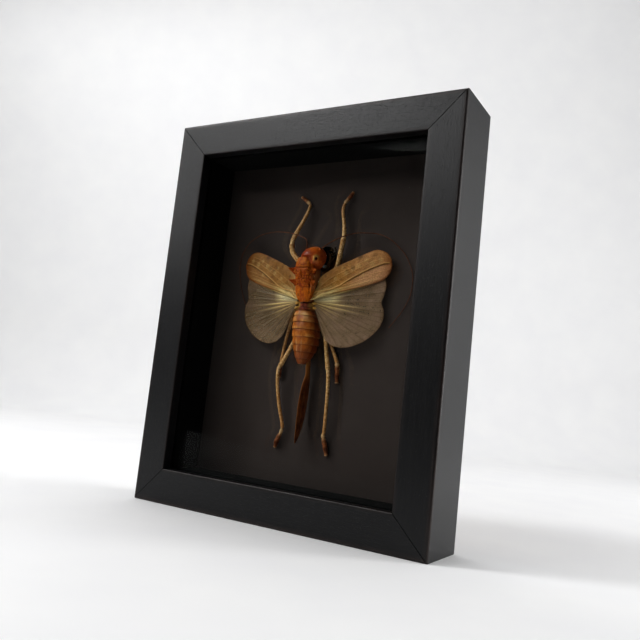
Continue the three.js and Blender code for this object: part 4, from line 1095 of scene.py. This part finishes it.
def forewing(side, sign):
    """A leathery wing: long veins with a groove under the main one that holds a painted shadow, pale rings, and folds
    at its root
    """
    right = sign > 0
    u = np.linspace(0, 1, 210)
    chord = np.linspace(0, 1, 96)[None, :] + 0 * u[:, None]
    hind, front = (between(edge, u)[:, None, :] for edge in (FOREWING_HIND, FOREWING_FRONT[side]))
    plan = hind * (1 - chord[..., None]) + front * chord[..., None]
    span, height = plan[..., 0], plan[..., 1]
    flat_spots = np.stack([span, height, 0 * span], axis=-1)
    main = nearness(plan, MAIN_VEIN, 0.34)
    # Painted shadow: a dark line in a shallow groove just under the main vein
    gully = nearness(plan + np.array([0, 0.75]), MAIN_VEIN, 0.4) * step(20, 28, span)
    small = sum(nearness(plan, route, 0.2) for route in FOREWING_VEINS)
    root = (1 - step(9, 22, span)) * (1 - step(0.18, 0.42, chord)) + 0.5 * (1 - step(5, 12, span))
    hem = hump(chord, 0.1, 0.06) * step(6, 12, span) * (1 - 0.7 * step(16, 27, span)) * (1 - step(36, 42, span))
    rim = 0.7 * step(0.93, 1, chord) * step(14, 30, span) + hump(chord, 0, 0.05) * step(20, 26, span)
    outer = capped(step(41, 47.5, span) + rim)
    ring = 0
    for x, z, radius in PALE_RINGS:
        away = distance(plan, (x, z))
        ring = ring + hump(away, 0, radius) - 0.7 * hump(away, 0, radius * 0.45)
    speckle = step(0.35, 0.75, rough(flat_spots, 1.3, 14, 2)) * step(7, 10, span)
    speckle = speckle * (1 - step(26, 40, span)) * step(0.25, 0.4, chord)
    blot = hump(span, 29.8, 0.8) * step(0.8, 0.97, chord)
    blot = blot + 0.6 * hump(distance(plan, (13, 124.6)), 0, 1.3) + 0.7 * speckle
    pucker = rough(flat_spots, 3.2, 12 if right else 13, 3) + 0.5 * rough(flat_spots, 1.3, 15, 2)
    bow = FOREWING["bow"] * np.minimum(1, 4 * u[:, None]) * np.sin(np.pi * chord)
    fold = 0.28 * np.sin(chord * np.pi * 5) * root * step(4, 7, span)
    relief = 0.28 * main + 0.14 * np.minimum(small, 1) - 0.2 * gully + 0.13 * pucker + fold + bow - 0.12 * outer
    edge = 0.45 * step(0.9, 1, np.abs(2 * chord - 1)) + 0.2 * step(44, 47.8, span)
    # Past mid-span the wing is pink, most behind the main vein; the right wing gets four times as much as the left,
    # as painted light
    vein_height = np.interp(span, *np.array(MAIN_VEIN).T)
    below = step(MAIN_VEIN[0][0], 12, span) * step(-0.5, -2.5, height - vein_height)
    wing(
        "forewing_" + side, sign, plan, wing_lift(FOREWING, span) + relief, FOREWING["thick"] / 2 * (1 - edge),
        (span, height - 0.42 * span), LEATHERY, "leathery_wing",
        vein=capped(main + 0.4 * small), gully=gully, ring=capped(ring), blot=capped(blot),
        cream=capped(root * (0.6 + 0.4 * np.sin(chord * np.pi * 7 + 0.6)) + 0.6 * hem),
        rust=outer * (0.7 if right else 1.0),
        # Partly painted light: the right wing is lighter and pinker than the left
        rosy=step(18, 34, span) * (below + 0.4 * (1 - below)) * (1.0 if right else 0.25),
        # Painted shade: the whole left wing, and the inner part of the right wing, are darkened
        shade=0.9 * (1 - step(12, 24, span)) if right else 1.0,
    )


def hindwing(side, sign):
    """A pleated fan: smoky, with fine veins on its creases, stout ones in front, and a cream folded root"""
    right = sign > 0
    folds = HINDWING["folds"]
    columns_per_vein = 9
    columns = folds * 2 * columns_per_vein + 1
    fan = np.linspace(0, 1, columns)
    reach = np.linspace(0, 1, 84)[:, None] + 0 * fan
    root, rim = (between(edge, fan)[None] for edge in (HINDWING_ROOT, HINDWING_RIM))
    plan = root * (1 - reach[..., None]) + rim * reach[..., None]
    span, height = plan[..., 0], plan[..., 1]
    phase = fan[None, :] * folds
    crease = np.abs(phase - np.floor(phase) - 0.5) * 4 - 1
    pleat = HINDWING["pleat"] * np.minimum(1, 1.6 * reach) * (0.35 + 0.65 * step(0, 0.35, reach))
    pleat = pleat * (1 - 0.7 * step(0.3, 0.9, reach)) * crease
    seed = 21 if right else 22
    flutter = 0.16 * rough(np.stack([span, height, 0 * span], axis=-1), 6, seed, 2) * step(0.2, 0.8, reach)
    # A vein on every crease, each with its own strength, and a finer one between them further out
    gap_mm = np.maximum(np.linalg.norm(np.gradient(plan, axis=1), axis=-1), 1e-4) * (columns - 1) / (2 * folds)
    strength = 0.35 + 0.65 * np.random.default_rng(seed).random(2 * folds + 1)
    vein = hump(np.abs(phase * 2 - np.round(phase * 2)) * gap_mm, 0, 0.2) * (1 - 0.25 * reach)
    vein = vein * strength[np.round(phase * 2).astype(int)]
    fine = hump(np.abs(phase * 4 - np.round(phase * 4)) * gap_mm / 2, 0, 0.09) * step(0.35, 0.6, reach) * 0.55
    # The stout front veins and the bright folded root, with brown painted shadow between its folds
    front_veins = ((1, 0.02, 0.012), (1, 0.085, 0.01), (0.9, 0.3, 0.014), (0.7, 0.36, 0.01))
    stout = sum(share * hump(fan, at, wide) for share, at, wide in front_veins)
    crests = 0.5 + 0.5 * np.cos(2 * np.pi * phase)
    near = step(0.55, 0.1, reach) * step(0.66, 0.4, fan)
    milk = step(0.46, 0.2, reach) * hump(fan, 0.17, 0.1)
    ridge = 0.12 * vein + 0.16 * capped(stout) * (1 - reach)
    # The upper part of the fan is darker and greener; the whole left wing is darkened as well, as painted shade
    dusk = capped((1 - step(0.25, 0.6, fan)) * (0.7 if right else 1) + (0.0 if right else 0.9))
    wing(
        "hindwing_" + side, sign, plan, wing_lift(HINDWING, span) + pleat + flutter + ridge,
        HINDWING["thick"] / 2 * (0.7 + 0.6 * vein) * (1 - 0.4 * step(0.96, 1, reach)),
        (reach * 38, phase * 2 + 0 * reach), SMOKY, "smoky_wing",
        vein=capped(vein + fine + 0.6 * step(0.985, 1, reach)), milk=milk,
        cream=capped(near * crests ** 1.3 + milk + stout * step(0.8, 0.3, reach)),
        # Rust at the rim is its own colour; between the root's folds it is painted shadow
        rust=capped(step(0.95, 1, reach) * 0.5 + 0.9 * near * (1 - crests) ** 2),
        dusk=dusk * (1 - (0.8 if right else 0.4) * step(0.6, 0.95, reach)),
    )


saddle()
head()
mouth()
thorax()
abdomen()
blade()
for seed, (name, (joints, knee, ankle)) in enumerate(LEGS.items(), 30):
    leg(name, joints, knee, ankle, seed)
for name, route in ANTENNAE.items():
    antenna(name, route)
for side, sign in (("left", -1), ("right", 1)):
    forewing(side, sign)
    hindwing(side, sign)


# ---- the stage: a pale seamless sweep and soft lights ----

def sweep():
    """Floor and wall in one sheet with a round between them; it begins just in front of the frame"""
    material, tree = begin("pale_paper_sweep")
    # Paper this large varies in tone over about 50 mm
    mottle = add(tree, "TexNoise", {"Vector": in_millimetres(tree), "Scale": 0.02, "Detail": 2.0})
    colour = add(tree, "ValToRGB", {"Fac": mottle}, [(0.3, "#f2f2f3"), (0.7, "#f5f5f5")])
    paper = add(tree, "BsdfPrincipled", {"Base Color": colour, "Roughness": 0.9, "Specular IOR Level": 0.1})
    add(tree, "OutputMaterial", {"Surface": paper})
    front, back, radius, high, wide = -200.0, 950.0, 180.0, 1900.0, 2600.0
    bend = np.radians(np.linspace(3, 90, 30))
    depth = np.concatenate([[front, back - radius], back - radius + radius * np.sin(bend), [back]])[:, None]
    height = np.concatenate([[0, 0], radius - radius * np.cos(bend), [high]])[:, None]
    across = np.linspace(-wide, wide, 40)
    # It faces the camera, so it is turned from the frame's front
    facing = math.radians(31)
    c, s = math.cos(facing), math.sin(facing)
    grid = np.stack([across * c - depth * s, across * s + depth * c, height + 0 * across], axis=-1)
    faces = grid_faces(*grid.shape[:2], False)
    made = modelled("Sweep", grid.reshape(-1, 3), faces, material)


def around(azimuth, elevation, distance):
    """A place by degrees left of the front, degrees up, and mm from the insect"""
    a, e = math.radians(azimuth), math.radians(elevation)
    level = distance * math.cos(e)
    return -level * math.sin(a), -level * math.cos(a), MIDDLE_Z + distance * math.sin(e)


def softbox(name, at, aim, size, power):
    """A soft rectangular light, placed and aimed in mm"""
    lamp = bpy.data.lights.new(name, "AREA")
    lamp.shape = "RECTANGLE"
    lamp.size, lamp.size_y = size[0] * MM, size[1] * MM
    lamp.energy = power
    made = bpy.data.objects.new(name, lamp)
    made.location = Vector(at) * MM
    made.rotation_euler = (Vector(aim) - Vector(at)).to_track_quat("-Z", "Y").to_euler()
    bpy.context.collection.objects.link(made)


sweep()
insect = (0, 0, MIDDLE_Z)
softbox("Key_light", around(52, 43, 1000), insect, (260, 260), 3.7)
softbox("Rail_light", around(53, 18, 1000), insect, (120, 120), 0.95)
softbox("High_light", around(17, 33, 900), insect, (460, 120), 0.75)
softbox("High_light_left", around(28, 30, 900), insect, (300, 120), 0.75)
softbox("Overhead_light", (0, 100, 1500), (0, 100, 0), (1600, 900), 5.4)
softbox("Back_light", (200, 500, 1500), (200, 500, 0), (1600, 900), 3.2)
softbox("Wall_light", (-300, 500, 1000), (-500, 900, 300), (1400, 200), 0.35)
softbox("Wall_light_left", (-700, 300, 800), (-800, 600, 100), (800, 300), 0.75)
softbox("Side_light", around(-105, 22, 1500), insect, (1300, 1300), 6.7)
softbox("Side_light_low", around(-125, 8, 1000), insect, (300, 500), 3.3)

world = bpy.data.worlds.new("Studio")
bpy.context.scene.world = world
world.use_nodes = True
air = world.node_tree
air.nodes.clear()
# Past the sweep the studio looks pale, but it lights nothing and the pane doesn't mirror it
dim = add(air, "Background", {"Color": "#e8ecf0", "Strength": 0.005})
pale = add(air, "Background", {"Color": "#eeeeee", "Strength": 0.9})
seen = add(air, "LightPath", out="Is Camera Ray")
add(air, "OutputWorld", {"Surface": add(air, "MixShader", {0: seen, 1: dim, 2: pale})})
bpy.context.scene.view_settings.view_transform = "Standard"
bpy.context.scene.view_settings.look = "Medium High Contrast"
